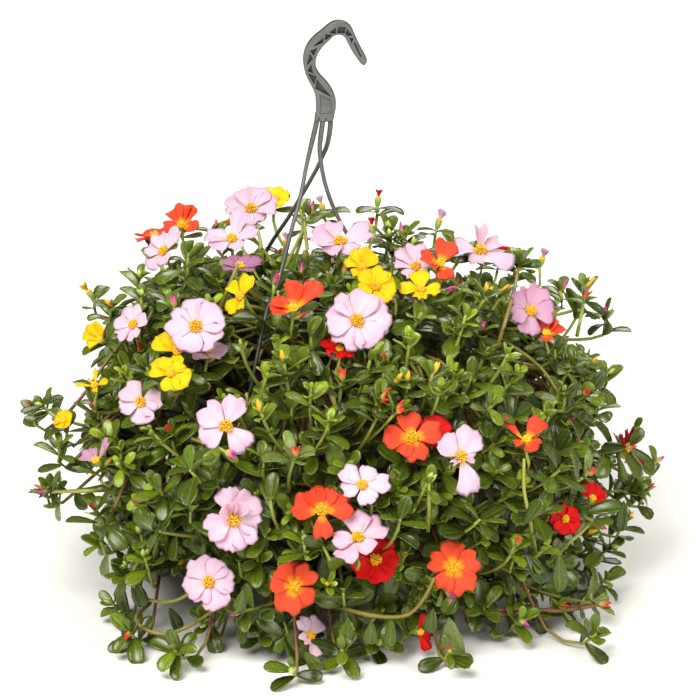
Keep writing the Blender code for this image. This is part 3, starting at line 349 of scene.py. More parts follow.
# Outline of the dense leafy mass in the picture; beyond it there are only single shoots and blooms
LEAFY_OUTLINE = np.array([
    (178, 268), (205, 268), (240, 266), (262, 262), (290, 266), (315, 262), (345, 268), (380, 268),
    (402, 282), (425, 292), (450, 286), (472, 286), (497, 298), (520, 322), (545, 338), (563, 352),
    (588, 358), (590, 378), (580, 402), (572, 430), (588, 444), (594, 482), (598, 512), (594, 545),
    (596, 585), (582, 598), (520, 602), (480, 606), (448, 614), (420, 606), (390, 610), (360, 612),
    (338, 610), (300, 600), (266, 588), (244, 574), (200, 566), (152, 560), (132, 540), (120, 522),
    (116, 508), (122, 480), (104, 452), (90, 428), (94, 408), (114, 388), (118, 362), (114, 348),
    (124, 322), (142, 304), (160, 292),
])

# How far left and right leaves may reach in the picture
PICTURE_LEFT = 22
PICTURE_RIGHT_END = 660

# Shoots that the picture shows plainly: their tip's place, the way they point in degrees from the
# picture's right, their kind, and what they end in. Those at (268, 372) and (240, 340) stand 10 and 14
# elements aside from their pictured places, farther from the front arm
PICTURED_SHOOTS = [
    (466, 314, 80, "young", ""), (409, 340, 90, "young", ""), (509, 353, 70, "young", ""),
    (552, 408, 90, "young", ""), (311, 390, 80, "young", ""), (261, 412, 100, "young", ""),
    (268, 372, 60, "young", ""), (126, 373, 100, "young", ""), (278, 291, 90, "young", ""),
    (545, 548, 80, "young", ""), (515, 545, 100, "young", ""), (372, 352, 80, "young", ""),
    (150, 430, 120, "young", ""), (330, 420, 70, "young", ""), (440, 390, 80, "young", ""),
    (295, 457, 60, "pale", "red"), (626, 448, 20, "large", "red"), (289, 637, -60, "large", ""),
    (270, 500, 90, "large", ""), (190, 470, 120, "large", ""), (480, 520, 60, "large", ""),
    (155, 530, 150, "large", ""), (400, 520, 90, "large", ""), (560, 470, 60, "large", ""),
    (330, 560, -60, "large", ""), (240, 340, 90, "large", ""), (380, 410, 70, "large", ""),
    (310, 214, 60, "plain", "magenta"), (402, 236, 110, "plain", "magenta"),
    (456, 289, 200, "plain", "magenta"), (174, 307, 80, "plain", "magenta"),
    (226, 452, -30, "plain", "magenta"), (446, 590, -30, "plain", "magenta"),
    (50, 492, 175, "plain", "magenta"), (284, 362, 90, "plain", "yellow"),
    (395, 383, 45, "plain", "yellow"), (487, 295, 60, "plain", "yellow"), (501, 292, 80, "plain", "yellow"),
    (390, 236, 110, "plain", "green"), (414, 246, 60, "plain", "green"), (189, 253, 60, "plain", "green"),
    (141, 296, 70, "plain", "green"), (42, 406, 130, "plain", "green"), (145, 556, 80, "plain", "green"),
    (429, 481, 70, "plain", "green"), (584, 300, 92, "plain", "red"), (585, 394, 60, "plain", "red"),
    (634, 492, 0, "plain", "red"), (633, 488, 75, "plain", "red"), (595, 522, -35, "plain", "red"),
    (381, 399, 45, "plain", "red"), (397, 411, 50, "plain", "red"), (342, 381, 80, "plain", "red"),
    (588, 474, 60, "plain", "red"), (240, 612, 170, "plain", "magenta"), (407, 381, 90, "plain", "yellow"),
    (433, 373, 80, "plain", "yellow"), (598, 604, 10, "plain", "red"), (520, 262, 90, "plain", "green"),
]
# Stems that lie bare in the picture: how old, from green 0 to brown 1, and the places along them
PICTURED_STEMS = [
    (0.2, [(262, 264), (261, 246), (257, 226)]), (0.3, [(308, 264), (307, 248), (304, 222)]),
    (0.5, [(221, 308), (229, 286), (238, 264)]), (0.6, [(497, 347), (506, 319), (514, 291), (519, 266)]),
    (0.1, [(577, 336), (581, 317), (584, 300)]), (0.1, [(533, 546), (530, 519), (524, 490), (524, 459)]),
    (0.2, [(428, 531), (429, 506), (429, 483)]), (0.1, [(553, 558), (571, 541), (589, 525)]),
    (0.1, [(108, 490), (84, 491), (52, 492)]), (0.4, [(150, 553), (135, 566), (133, 583), (142, 597),
                                                     (163, 602), (180, 599), (196, 588)]),
    (0.5, [(150, 603), (138, 614), (137, 622), (147, 630), (163, 634), (183, 629), (204, 617), (220, 602)]),
    (0.6, [(338, 607), (365, 614), (390, 617), (411, 613), (427, 593), (434, 578)]),
    (0.9, [(470, 612), (500, 610), (530, 609), (560, 611), (598, 605)]),
    (1.0, [(452, 606), (490, 613), (525, 613), (556, 608), (590, 606)]),
]
# Leaves along the lower edge and at the right: base and end in the picture, and width over length. The
# first one is pale
PICTURED_LEAVES = [
    (449, 618, 453, 663, 0.56), (391, 620, 390, 647, 0.46), (372, 622, 369, 647, 0.55),
    (348, 618, 348, 638, 0.50), (433, 609, 429, 634, 0.58), (504, 609, 500, 635, 0.55),
    (535, 613, 540, 635, 0.25), (563, 611, 575, 624, 0.30), (599, 612, 590, 643, 0.40),
    (176, 633, 175, 656, 0.55), (169, 608, 181, 631, 0.50), (138, 620, 122, 639, 0.55),
    (133, 609, 110, 618, 0.22), (284, 636, 304, 675, 0.50), (286, 634, 318, 656, 0.55),
    (300, 640, 340, 653, 0.42), (305, 652, 321, 673, 0.55), (284, 636, 260, 614, 0.55),
    (282, 638, 268, 653, 0.50), (238, 624, 244, 644, 0.50), (244, 590, 238, 612, 0.55),
    (627, 447, 601, 449, 0.50), (629, 447, 657, 472, 0.48), (628, 446, 641, 429, 0.62),
    (624, 501, 620, 532, 0.42), (586, 512, 621, 504, 0.48), (526, 555, 545, 583, 0.48),
    (559, 552, 560, 593, 0.38), (524, 524, 541, 500, 0.45), (132, 582, 113, 560, 0.50),
    (42, 406, 20, 411, 0.30), (42, 404, 62, 396, 0.40), (50, 492, 56, 508, 0.25), (52, 491, 58, 472, 0.25),
    (584, 300, 567, 297, 0.45), (585, 302, 606, 312, 0.45), (519, 264, 503, 252, 0.45),
    (520, 266, 541, 262, 0.42), (521, 272, 536, 282, 0.50), (586, 396, 604, 372, 0.40),
    (586, 398, 606, 404, 0.50), (634, 430, 641, 418, 0.50),
]

# Colours, linear
LEAF_DARK = np.array([0.017, 0.034, 0.001])
LEAF_MID = np.array([0.082, 0.132, 0.003])
LEAF_YOUNG = np.array([0.330, 0.460, 0.018])
LEAF_PALE = np.array([0.160, 0.220, 0.050])
LEAF_UNDER = np.array([0.220, 0.275, 0.075])
STEM_YOUNG = np.array([0.300, 0.350, 0.050])
STEM_OLD = np.array([0.200, 0.075, 0.035])
PEACH = np.array([0.560, 0.440, 0.100])
CALYX_GREEN = np.array([0.26, 0.38, 0.06])
FILAMENT = np.array([0.94, 0.56, 0.03])
GOLD = np.array([0.95, 0.50, 0.012])
STIGMA = np.array([0.92, 0.70, 0.16])
BUD_ENDS = {
    "green": np.array([0.420, 0.540, 0.110]), "magenta": np.array([0.520, 0.020, 0.260]),
    "red": np.array([0.620, 0.010, 0.010]), "yellow": np.array([0.900, 0.500, 0.010]),
}


# Small sums on vectors


def unit(vectors):
    """Each vector over its length; works on one or on an array of them."""
    vectors = np.asarray(vectors, float)
    return vectors / np.linalg.norm(vectors, axis=-1, keepdims=True)


def at_depth(across, down, depth):
    """The point that the front view shows at this picture place, on the upright plane Y = depth."""
    middle = PICTURE_SIDE / 2
    ray = VIEW_TARGET + (across - middle) * PIXEL * PICTURE_RIGHT - EYE
    ray = ray + (middle - down) * PIXEL * PICTURE_UP
    return EYE + ray * (depth - EYE[1]) / ray[1]


def on_dome(across, down, sunk=0.0):
    """Where the line of sight through this picture place meets the dome, or passes it closest."""
    ray = unit(at_depth(across, down, 0.0) - EYE)
    start = (EYE - DOME_MIDDLE) / DOME_RADII
    slope = ray / DOME_RADII
    nearest = -start.dot(slope) / slope.dot(slope)
    inside = 1.0 - np.sum((start + nearest * slope) ** 2)
    distance = nearest - math.sqrt(max(inside, 0.0) / slope.dot(slope)) + sunk
    if (EYE + distance * ray)[2] < LOWEST_TIP:
        distance = (LOWEST_TIP - EYE[2]) / ray[2]
    return EYE + distance * ray


def seen_at(points):
    """The picture places at which the front view shows these points."""
    away = points - EYE
    far = -(away @ TO_EYE)
    scale = VIEW_DISTANCE / far / PIXEL
    return np.stack([PICTURE_SIDE / 2 + (away @ PICTURE_RIGHT) * scale,
                     PICTURE_SIDE / 2 - (away @ PICTURE_UP) * scale], axis=-1)


def within(places, outline):
    """Which places lie inside the closed outline: those whose level line to the right crosses it an odd
    number of times."""
    start = outline
    end = np.roll(outline, -1, axis=0)
    x, y = places[:, 0, None], places[:, 1, None]
    straddles = (start[:, 1] > y) != (end[:, 1] > y)
    crossing = start[:, 0] + (y - start[:, 1]) * (end[:, 0] - start[:, 0]) / (end[:, 1] - start[:, 1] + 1e-12)
    return np.sum(straddles & (x < crossing), axis=1) % 2 == 1


def dome_normal(points):
    """The direction straight out of the dome at these points, or at points inside or beyond it."""
    return unit((points - DOME_MIDDLE) / DOME_RADII**2)


def facing(turn, lift):
    """The direction that lies this many degrees to the right of the eye and above it."""
    turn = math.radians(turn)
    lift = VIEW_LIFT + math.radians(lift)
    return np.array([math.sin(turn) * math.cos(lift), -math.cos(turn) * math.cos(lift), math.sin(lift)])


def square_frames(axes, towards):
    """For each axis, three unit columns: the last along the axis, the first as near towards as it can."""
    third = unit(axes)
    first = unit(towards - third * np.sum(third * towards, axis=-1, keepdims=True))
    return np.stack([first, np.cross(third, first), third], axis=-1)


def smooth_line(waypoints, count):
    """A smooth curve through the waypoints, read at points spaced evenly along it."""
    knots = np.asarray(waypoints, float)
    before = 2 * knots[0] - knots[1]
    after = 2 * knots[-1] - knots[-2]
    knots = np.vstack([before, knots, after])
    share = np.linspace(0.0, 1.0, 9)[:-1, None]
    pieces = []
    for a, b, c, d in zip(knots[:-3], knots[1:-2], knots[2:-1], knots[3:]):
        bend = (2 * a - 5 * b + 4 * c - d) * share**2 + (3 * b - a - 3 * c + d) * share**3
        pieces.append(0.5 * (2 * b + (c - a) * share + bend))
    line = np.vstack([*pieces, knots[-2:-1]])
    along = np.concatenate([[0.0], np.cumsum(np.linalg.norm(np.diff(line, axis=0), axis=1))])
    even = np.linspace(0.0, along[-1], count)
    return np.column_stack([np.interp(even, along, line[:, axis]) for axis in range(line.shape[1])])


def random_draw(*key):
    """A stream of draws of its own for each key, so that one piece's draws don't move another's."""
    return np.random.default_rng([SEED, *key])


# Meshes from arrays

# How far a tube's pole lies beyond its end, over its radius there
POLE_REACH = 0.6


def tube_corners(rings, sides):
    """Quads round a tube of rings, and triangles to its first and last pole, faces outwards."""
    ring, side = np.meshgrid(np.arange(rings - 1), np.arange(sides), indexing="ij")
    after = (side + 1) % sides
    quads = np.stack([ring * sides + side, ring * sides + after, (ring + 1) * sides + after,
                      (ring + 1) * sides + side], axis=-1).reshape(-1, 4)
    side = np.arange(sides)
    after = (side + 1) % sides
    last = (rings - 1) * sides
    first_pole = np.full(sides, rings * sides)
    triangles = np.vstack([
        np.column_stack([after, side, first_pole]),
        np.column_stack([last + side, last + after, first_pole + 1]),
    ])
    return quads, triangles


def part_of(points, quads, triangles, uv, tint, finish=0):
    """One or many like bodies as flat arrays. points is (bodies, points, 3), uv and tint broadcast to it."""
    count, size = points.shape[:2]
    shift = (np.arange(count) * size)[:, None, None]
    return {
        "points": points.reshape(-1, 3),
        "quads": (quads[None] + shift).reshape(-1, 4),
        "triangles": (triangles[None] + shift).reshape(-1, 3),
        "uv": np.broadcast_to(uv, (count, size, 2)).reshape(-1, 2),
        "tint": np.broadcast_to(tint, (count, size, 3)).reshape(-1, 3),
        "finish": finish,
    }


def make_piece(name, parts, materials, replaced=()):
    """One mesh object from the parts, with its UV map, its tint attribute and its materials."""
    points = np.vstack([part["points"] for part in parts])
    first = np.cumsum([0] + [len(part["points"]) for part in parts[:-1]])
    corners = []
    sizes = []
    finishes = []
    for part, start in zip(parts, first):
        for key, size in (("quads", 4), ("triangles", 3)):
            faces = part[key] + start
            corners.append(faces.ravel())
            sizes.append(np.full(len(faces), size))
            finishes.append(np.full(len(faces), part["finish"]))
    corners = np.concatenate(corners).astype(np.int32)
    sizes = np.concatenate(sizes)
    uv = np.vstack([part["uv"] for part in parts])
    tint = np.vstack([part["tint"] for part in parts])
    mesh = bpy.data.meshes.new(name)
    mesh.vertices.add(len(points))
    mesh.vertices.foreach_set("co", points.astype(np.float32).ravel())
    mesh.loops.add(len(corners))
    mesh.loops.foreach_set("vertex_index", corners)
    mesh.polygons.add(len(sizes))
    mesh.polygons.foreach_set("loop_start", (np.cumsum(sizes) - sizes).astype(np.int32))
    mesh.polygons.foreach_set("material_index", np.concatenate(finishes).astype(np.int32))
    mesh.polygons.foreach_set("use_smooth", np.full(len(sizes), True))
    mesh.update(calc_edges=True)
    layer = mesh.uv_layers.new(name="UVMap")
    layer.data.foreach_set("uv", uv[corners].astype(np.float32).ravel())
    colour = mesh.attributes.new("tint", "FLOAT_COLOR", "POINT")
    colour.data.foreach_set("color", np.column_stack([tint, np.ones(len(tint))]).astype(np.float32).ravel())
    for material in materials:
        mesh.materials.append(material)
    return settle(bpy.data.objects.new(name, mesh), replaced)


def settle(obj, replaced=()):
    """Puts a finished piece in the scene, on its body and the nodes it stands for."""
    if not obj.users_collection:
        bpy.context.scene.collection.objects.link(obj)
    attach(obj, "root")
    if replaced:
        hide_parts(*replaced)
    return obj


def tubes(lines, radii, sides):
    """Round tubes along many lines at once: each point plus radius times (cos, sin) in the plane across
    the line there, with a pole a little beyond each end. lines is (tubes, points, 3)."""
    ahead = unit(np.gradient(lines, axis=1))
    whole = unit(lines[:, -1] - lines[:, 0] + 1e-9)[:, None]
    helper = np.where(np.abs(whole[..., 2:]) < 0.8, [0.0, 0.0, 1.0], [0.0, 1.0, 0.0])
    frames = square_frames(ahead, np.broadcast_to(helper, ahead.shape))
    turn = 2 * np.pi * np.arange(sides) / sides
    ring = np.stack([np.cos(turn), np.sin(turn)], axis=-1)
    offset = np.einsum("ntij,sj->ntsi", frames[..., :2], ring) * radii[..., None, None]
    around = (lines[:, :, None] + offset).reshape(len(lines), -1, 3)
    poles = np.stack([lines[:, 0] - POLE_REACH * radii[:, 0, None] * ahead[:, 0],
                      lines[:, -1] + POLE_REACH * radii[:, -1, None] * ahead[:, -1]], axis=1)
    return np.concatenate([around, poles], axis=1)


def tube_uv(rings, sides):
    """Round the tube and along it, from 0 to 1."""
    along, around = np.meshgrid(np.linspace(0, 1, rings), np.arange(sides) / sides, indexing="ij")
    body = np.stack([around.ravel(), along.ravel()], axis=-1)
    return np.vstack([body, [[0.5, 0.0], [0.5, 1.0]]])


# Materials


class Finish:
    """A principled material and short ways to add nodes to it."""

    def __init__(self, name, roughness=0.5, specular=0.5, **values):
        self.material = bpy.data.materials.new(name)
        self.material.use_nodes = True
        self.tree = self.material.node_tree
        self.shader = self.tree.nodes["Principled BSDF"]
        self.shader.inputs["Roughness"].default_value = roughness
        self.shader.inputs["Specular IOR Level"].default_value = specular
        for key, value in values.items():
            self.shader.inputs[key.replace("_", " ").title()].default_value = value

    def node(self, kind, **values):
        made = self.tree.nodes.new(kind)
        for key, value in values.items():
            if key in made.inputs:
                made.inputs[key].default_value = value
            else:
                setattr(made, key, value)
        return made

    def link(self, output, target):
        self.tree.links.new(output, target)

    def tint(self):
        return self.node("ShaderNodeAttribute", attribute_name="tint").outputs["Color"]

    def place(self, kind="Object"):
        return self.node("ShaderNodeTexCoord").outputs[kind]

    def noise(self, place, scale, detail=3.0, roughness=0.5):
        made = self.node("ShaderNodeTexNoise", Scale=scale, Detail=detail, Roughness=roughness)
        self.link(place, made.inputs["Vector"])
        return made.outputs["Fac"]

    def stretched(self, place, scale):
        made = self.node("ShaderNodeMapping", Scale=scale)
        self.link(place, made.inputs["Vector"])
        return made.outputs["Vector"]

    def split(self, vector):
        made = self.node("ShaderNodeSeparateXYZ")
        self.link(vector, made.inputs[0])
        return made.outputs

    def sum(self, operation, first, second=0.0, third=0.0):
        made = self.node("ShaderNodeMath", operation=operation)
        for socket, value in zip(made.inputs, (first, second, third)):
            if isinstance(value, (int, float)):
                socket.default_value = value
            else:
                self.link(value, socket)
        return made.outputs[0]

    def ramp(self, factor, stops):
        """A colour ramp; stops are (place, colour or grey value)."""
        made = self.node("ShaderNodeValToRGB")
        marks = made.color_ramp.elements
        while len(marks) < len(stops):
            marks.new(0.5)
        for mark, (place, colour) in zip(marks, stops):
            mark.position = place
            mark.color = (*colour, 1.0) if np.ndim(colour) else (colour, colour, colour, 1.0)
        self.link(factor, made.inputs[0])
        return made.outputs["Color"]

    def mix(self, factor, first, second, blend="MIX"):
        made = self.node("ShaderNodeMix", data_type="RGBA", blend_type=blend)
        for socket, value in zip((made.inputs[0], made.inputs[6], made.inputs[7]), (factor, first, second)):
            if isinstance(value, bpy.types.NodeSocket):
                self.link(value, socket)
            elif np.ndim(value):
                socket.default_value = (*value, 1.0)
            else:
                socket.default_value = value
        return made.outputs[2]

    def shaded(self, colour, factor, stops):
        """The colour times the grey values of a ramp."""
        return self.mix(1.0, colour, self.ramp(factor, stops), "MULTIPLY")

    def colour(self, output):
        self.link(output, self.shader.inputs["Base Color"])

    def rough(self, output):
        self.link(output, self.shader.inputs["Roughness"])

    def bump(self, height, strength, distance):
        made = self.node("ShaderNodeBump", Strength=strength, Distance=distance)
        self.link(height, made.inputs["Height"])
        self.link(made.outputs["Normal"], self.shader.inputs["Normal"])


def leaf_finish():
    """Fleshy green from the tint, a paler rib and edge, faint mottling, and a waxy gloss."""
    finish = Finish("leaf_green", 0.26, 0.52)
    across = finish.split(finish.place("UV"))[0]
    off_middle = finish.sum("ABSOLUTE", finish.sum("MULTIPLY_ADD", across, 2.0, -1.0))
    rib = finish.ramp(off_middle, [(0.0, 1.0), (0.055, 0.35), (0.12, 0.0)])
    edge = finish.ramp(off_middle, [(0.86, 0.0), (0.95, 0.75), (1.0, 1.0)])
    tint = finish.tint()
    mottled = finish.noise(finish.place(), 420.0, 3.0)
    green = finish.shaded(tint, mottled, [(0.3, 0.80), (0.7, 1.22)])
    pale = finish.mix(0.40, tint, (0.36, 0.44, 0.14))
    green = finish.mix(finish.sum("MULTIPLY", rib, 0.55), green, pale)
    warm = finish.mix(0.50, tint, (0.42, 0.36, 0.12))
    green = finish.mix(finish.sum("MULTIPLY", edge, 0.60), green, warm)
    finish.colour(green)
    cloudy = finish.noise(finish.place(), 160.0, 2.0)
    finish.rough(finish.ramp(cloudy, [(0.3, 0.18), (0.7, 0.34)]))
    veins = finish.noise(finish.stretched(finish.place("UV"), (14.0, 3.0, 1.0)), 1.6, 2.0)
    finish.bump(veins, 0.18, 0.0006)
    return finish.material


def stem_finish():
    """The tint, with fine lengthwise streaks."""
    finish = Finish("stem_skin", 0.45, 0.45)
    tint = finish.tint()
    streaks = finish.noise(finish.stretched(finish.place("UV"), (9.0, 1.5, 1.0)), 3.0, 3.0)
    finish.colour(finish.shaded(tint, streaks, [(0.3, 0.72), (0.7, 1.25)]))
    finish.bump(finish.noise(finish.place(), 900.0, 2.0), 0.15, 0.0004)
    return finish.material


def bud_finish():
    """The tint with soft lengthwise ribs."""
    finish = Finish("bud_skin", 0.40, 0.5)
    tint = finish.tint()
    ribs = finish.noise(finish.stretched(finish.place("UV"), (8.0, 1.0, 1.0)), 2.0, 2.0)
    finish.colour(finish.shaded(tint, ribs, [(0.3, 0.78), (0.7, 1.18)]))
    finish.rough(finish.ramp(ribs, [(0.3, 0.32), (0.7, 0.48)]))
    finish.bump(ribs, 0.20, 0.0004)
    return finish.material


PETAL_LOOKS = {
    # Colours along a petal: where each lies from the centre outwards, and the colour
    "pink": [(0.15, (0.90, 0.42, 0.03)), (0.24, (0.84, 0.56, 0.60)), (0.45, (0.81, 0.55, 0.66)),
             (1.0, (0.78, 0.45, 0.59))],
    "orange": [(0.15, (0.94, 0.52, 0.008)), (0.29, (0.92, 0.34, 0.010)), (0.46, (0.83, 0.075, 0.022)),
               (1.0, (0.80, 0.058, 0.026))],
    "red": [(0.12, (0.90, 0.16, 0.005)), (0.25, (0.74, 0.010, 0.004)), (0.65, (0.74, 0.004, 0.004)),
            (1.0, (0.62, 0.002, 0.004))],
    "yellow": [(0.12, (0.90, 0.42, 0.004)), (0.30, (0.90, 0.52, 0.003)), (0.70, (0.90, 0.58, 0.003)),
               (1.0, (0.88, 0.50, 0.003))],
}


def petal_finish(colour):
    """From throat to edge along the petal, with fine veins that fan out, silky and a little see-through."""
    finish = Finish(f"petal_{colour}", 0.60, 0.18, subsurface_weight=0.35, subsurface_scale=0.003)
    place = finish.place("UV")
    along = finish.split(place)[1]
    body = finish.ramp(along, PETAL_LOOKS[colour])
    body = finish.mix(1.0, body, finish.tint(), "MULTIPLY")
    veins = finish.noise(finish.stretched(place, (17.0, 1.3, 1.0)), 2.0, 2.5)
    dark, light = (0.92, 1.03) if colour == "pink" else (0.82, 1.08)
    finish.colour(finish.shaded(body, veins, [(0.35, dark), (0.6, light)]))
    finish.bump(veins, 0.25, 0.0006)
    return finish.material


def stamen_finish():
    """The tint with a fine powdery grain."""
    finish = Finish("stamen_yellow", 0.6, 0.3)
    tint = finish.tint()
    grain = finish.noise(finish.place(), 2500.0, 2.0)
    finish.colour(finish.shaded(tint, grain, [(0.3, 0.75), (0.7, 1.2)]))
    finish.rough(finish.ramp(grain, [(0.3, 0.52), (0.7, 0.68)]))
    finish.bump(grain, 0.20, 0.0003)
    return finish.material


def hanger_finish():
    """Grey moulded plastic: satin, a fine moulded grain, faintly cloudy, with painted shade on the sides and
    painted light that makes it lighter where it faces front or back, and painted shade in the recesses above
    the foot, which lie nearer the hook's middle plane."""
    finish = Finish("hanger_grey", 0.42, 0.5)
    place = finish.place()
    cloudy = finish.noise(place, 60.0, 3.0)
    grey = finish.ramp(cloudy, [(0.3, (0.074, 0.077, 0.077)), (0.7, (0.104, 0.107, 0.107))])
    _, deep, high = finish.split(place)
    off_middle = finish.sum("MULTIPLY", finish.sum("ABSOLUTE", deep), 2.0 / HOOK_THICKNESS)
    # Painted shade: the recess floors, near the hook's middle plane, are darkened, above the hook's foot only
    painted_recess_shade = finish.ramp(off_middle, [(0.25, 0.28), (0.85, 1.0)])
    painted_recess_shade = finish.mix(finish.sum("GREATER_THAN", high, HOOK_FOOT), (1.0, 1.0, 1.0), painted_recess_shade)
    grey = finish.mix(1.0, grey, painted_recess_shade, "MULTIPLY")
    # Painted light: faces that turn to the sides are darkened, and those that face front or back are
    # lightened
    forward = finish.sum("ABSOLUTE", finish.split(finish.place("Normal"))[1])
    finish.colour(finish.shaded(grey, forward, [(0.50, 0.42), (0.96, 1.24)]))
    finish.rough(finish.ramp(finish.noise(place, 240.0, 3.0), [(0.3, 0.26), (0.7, 0.42)]))
    finish.bump(finish.noise(place, 2600.0, 2.0), 0.08, 0.0003)
    return finish.material


def pot_finish():
    """Black moulded plastic: satin, with faint flow marks and a little dust."""
    finish = Finish("pot_black", 0.40, 0.5)
    place = finish.place()
    flow = finish.noise(finish.stretched(place, (30.0, 30.0, 6.0)), 1.0, 4.0)
    finish.colour(finish.ramp(flow, [(0.3, (0.010, 0.009, 0.012)), (0.75, (0.022, 0.020, 0.024))]))
    finish.rough(finish.ramp(flow, [(0.3, 0.32), (0.7, 0.50)]))
    finish.bump(finish.noise(place, 1400.0, 2.0), 0.06, 0.0003)
    return finish.material


def soil_finish():
    """Dark crumbly peat with paler fibres and a few pale grains."""
    finish = Finish("peat", 0.95, 0.2)
    place = finish.place()
    crumbs = finish.noise(place, 260.0, 5.0, 0.65)
    peat = finish.ramp(crumbs, [(0.3, (0.012, 0.007, 0.004)), (0.55, (0.040, 0.022, 0.012)),
                                (0.8, (0.110, 0.065, 0.035))])
    grains = finish.node("ShaderNodeTexVoronoi", Scale=190.0)
    finish.link(place, grains.inputs["Vector"])
    pale = finish.ramp(grains.outputs["Distance"], [(0.08, 1.0), (0.14, 0.0)])
    finish.colour(finish.mix(pale, peat, (0.42, 0.38, 0.32)))
    finish.bump(crumbs, 0.8, 0.002)
    return finish.material


# Shoots: where the stems run


def crown_places():
    """Each bunch's name and the place of its crown on the soil."""
    places = []
    for k in range(INNER_CROWNS):
        places.append((f"inner_{k + 1}", INNER_CIRCLE, 2 * math.pi * (k + 0.5) / INNER_CROWNS))
    for k in range(OUTER_CROWNS):
        places.append((f"outer_{k + 1}", OUTER_CIRCLE, 2 * math.pi * (k + 0.5) / OUTER_CROWNS))
    return places


def bunch_of(tip):
    """The crown that a shoot with this tip grows from: an inner one for the top of the dome."""
    turn = math.atan2(tip[1], tip[0]) % (2 * math.pi)
    if math.hypot(tip[0], tip[1]) < INNER_REACH and tip[2] > INNER_HEIGHT:
        return int(turn / (2 * math.pi) * INNER_CROWNS) % INNER_CROWNS
    return INNER_CROWNS + int(turn / (2 * math.pi) * OUTER_CROWNS) % OUTER_CROWNS


def spiral_on_dome(count, highest, lowest):
    """Points spread over the dome along a golden-angle spiral, from one level to another."""
    share = (np.arange(count) + 0.5) / count
    level = highest + (lowest - highest) * share
    turn = np.arange(count) * math.pi * (3 - math.sqrt(5))
    flat = np.sqrt(np.maximum(1.0 - level**2, 0.0))
    return np.column_stack([flat * np.cos(turn), flat * np.sin(turn), level])


def petal_sprays():
    """Every bloom: its colour, centre, direction, radius, picture place, spin and number, the largest
    first. The seeds and formulas are those of the solids, so each bloom sits in its own solid."""
    blooms = []
    for colour, across, down, width, turn, lift, sunk in FRONT_BLOOMS:
        blooms.append((colour, on_dome(across, down, sunk), facing(turn, lift), width / 2, (across, down)))
    draw = random_draw(1)
    for place in spiral_on_dome(8 * BACK_BLOOMS, 1.0, -0.45):
        point = DOME_MIDDLE + DOME_RADII * place
        normal = dome_normal(point)
        hidden = normal.dot(TO_EYE) < -0.02 and point[2] > 0.03
        near = min(np.linalg.norm(point - other[1]) for other in blooms)
        if not hidden or near < 2.0 * BLOOM_ROOM or len(blooms) == len(FRONT_BLOOMS) + BACK_BLOOMS:
            continue
        face = unit(normal + np.array([0.0, 0.0, 0.45]) + draw.uniform(-0.25, 0.25, 3))
        colour = BACK_COLOURS[len(blooms) % len(BACK_COLOURS)]
        blooms.append((colour, point, face, draw.uniform(*BACK_RADII), None))
    blooms.sort(key=lambda bloom: -bloom[3])
    spins = random_draw(2).uniform(0.0, 72.0, len(blooms))
    return [(*bloom, spin, number) for number, (bloom, spin) in enumerate(zip(blooms, spins))]


def main_stem(place, tip, face, draw):
    """A stem from its crown to its tip, which it reaches from below the direction face. A trailing one
    clears the rim and comes down outside the pot. A slow wave is added to its middle."""
    _, circle, turn = place
    crown = np.array([circle * math.cos(turn), circle * math.sin(turn), SOIL_EDGE + 0.004])
    around = (math.atan2(tip[1], tip[0]) - turn + math.pi) % (2 * math.pi) - math.pi
    out = math.hypot(tip[0], tip[1])

    def at(radius, share, height):
        angle = turn + around * share
        return np.array([radius * math.cos(angle), radius * math.sin(angle), height])

    rise = CROWN_TOP - 0.003 - crown[2]
    leaving = unit((tip - crown) * [1.0, 1.0, 0.0]) * 0.6 * CROWN_RADIUS
    line = [crown + leaving + [0.0, 0.0, rise * min(tip[2] / DOME_RADII[0], 1.0)]]
    if tip[2] > HIGH_TIP:
        line.append(at(circle + 0.30 * (out - circle), 0.55, CROWN_TOP + 0.5 * (tip[2] - CROWN_TOP)))
    else:
        over = LIP_RADIUS + OVER_LIP
        arch = LOW_ARCH + (HIGH_ARCH - LOW_ARCH) * tip[2] / HIGH_TIP
        line.append(at(over, 0.50, POT_HEIGHT + arch))
        if tip[2] < LOW_TIP:
            drop = over + 0.38 * (out - over)
            line.append(at(drop, 0.75, 0.5 * (CROWN_TOP + tip[2])))
        if tip[2] < TABLE_TIP:
            line.append(at(over + 0.72 * (out - over), 0.92, TABLE_CLEAR + 0.004))
    neck = tip - NECK * unit(face + [0.0, 0.0, 0.6])
    neck[2] = max(neck[2], TABLE_CLEAR)
    points = smooth_line([*line, neck, tip], STEM_POINTS)
    share = np.linspace(0.0, 1.0, STEM_POINTS)
    swing = np.sin(np.pi * share)[:, None] * np.sin(2 * np.pi * (share[:, None] * draw.uniform(0.8, 1.8)
                                                               + draw.uniform(0, 1, 3)))
    points = points + STEM_SWING * swing * [1.0, 1.0, 0.5]
    points[1:, 2] = np.maximum(points[1:, 2], TABLE_CLEAR)
    return points


def side_shoots(tips, faces, samples, sample_heads):
    """Shoots that branch from the nearest fit point of the main stems and bend out to their own tips.
    Each is a cubic with the main stem's heading at its root and its own direction at its tip."""
    wanted = tips - SIDE_LENGTH * unit(0.5 * faces + 0.5 * unit(tips - [0.0, 0.0, CROWN_TOP]))
    away = np.linalg.norm(wanted[:, None] - samples[None], axis=2)
    reach = np.linalg.norm(tips[:, None] - samples[None], axis=2)
    away = away + np.where(reach < LEAST_REACH, 1.0, 0.0)
    root = np.argmin(away, axis=1)
    start = samples[root]
    span = np.linalg.norm(tips - start, axis=1)[:, None]
    share = np.linspace(0.0, 1.0, SIDE_POINTS)[None, :, None]
    head = sample_heads[root] * span
    heel = faces * span
    line = ((2 * share**3 - 3 * share**2 + 1) * start[:, None]
            + (share**3 - 2 * share**2 + share) * head[:, None]
            + (3 * share**2 - 2 * share**3) * tips[:, None] + (share**3 - share**2) * heel[:, None])
    line[..., 2] = np.maximum(line[..., 2], TABLE_CLEAR)
    return line, root


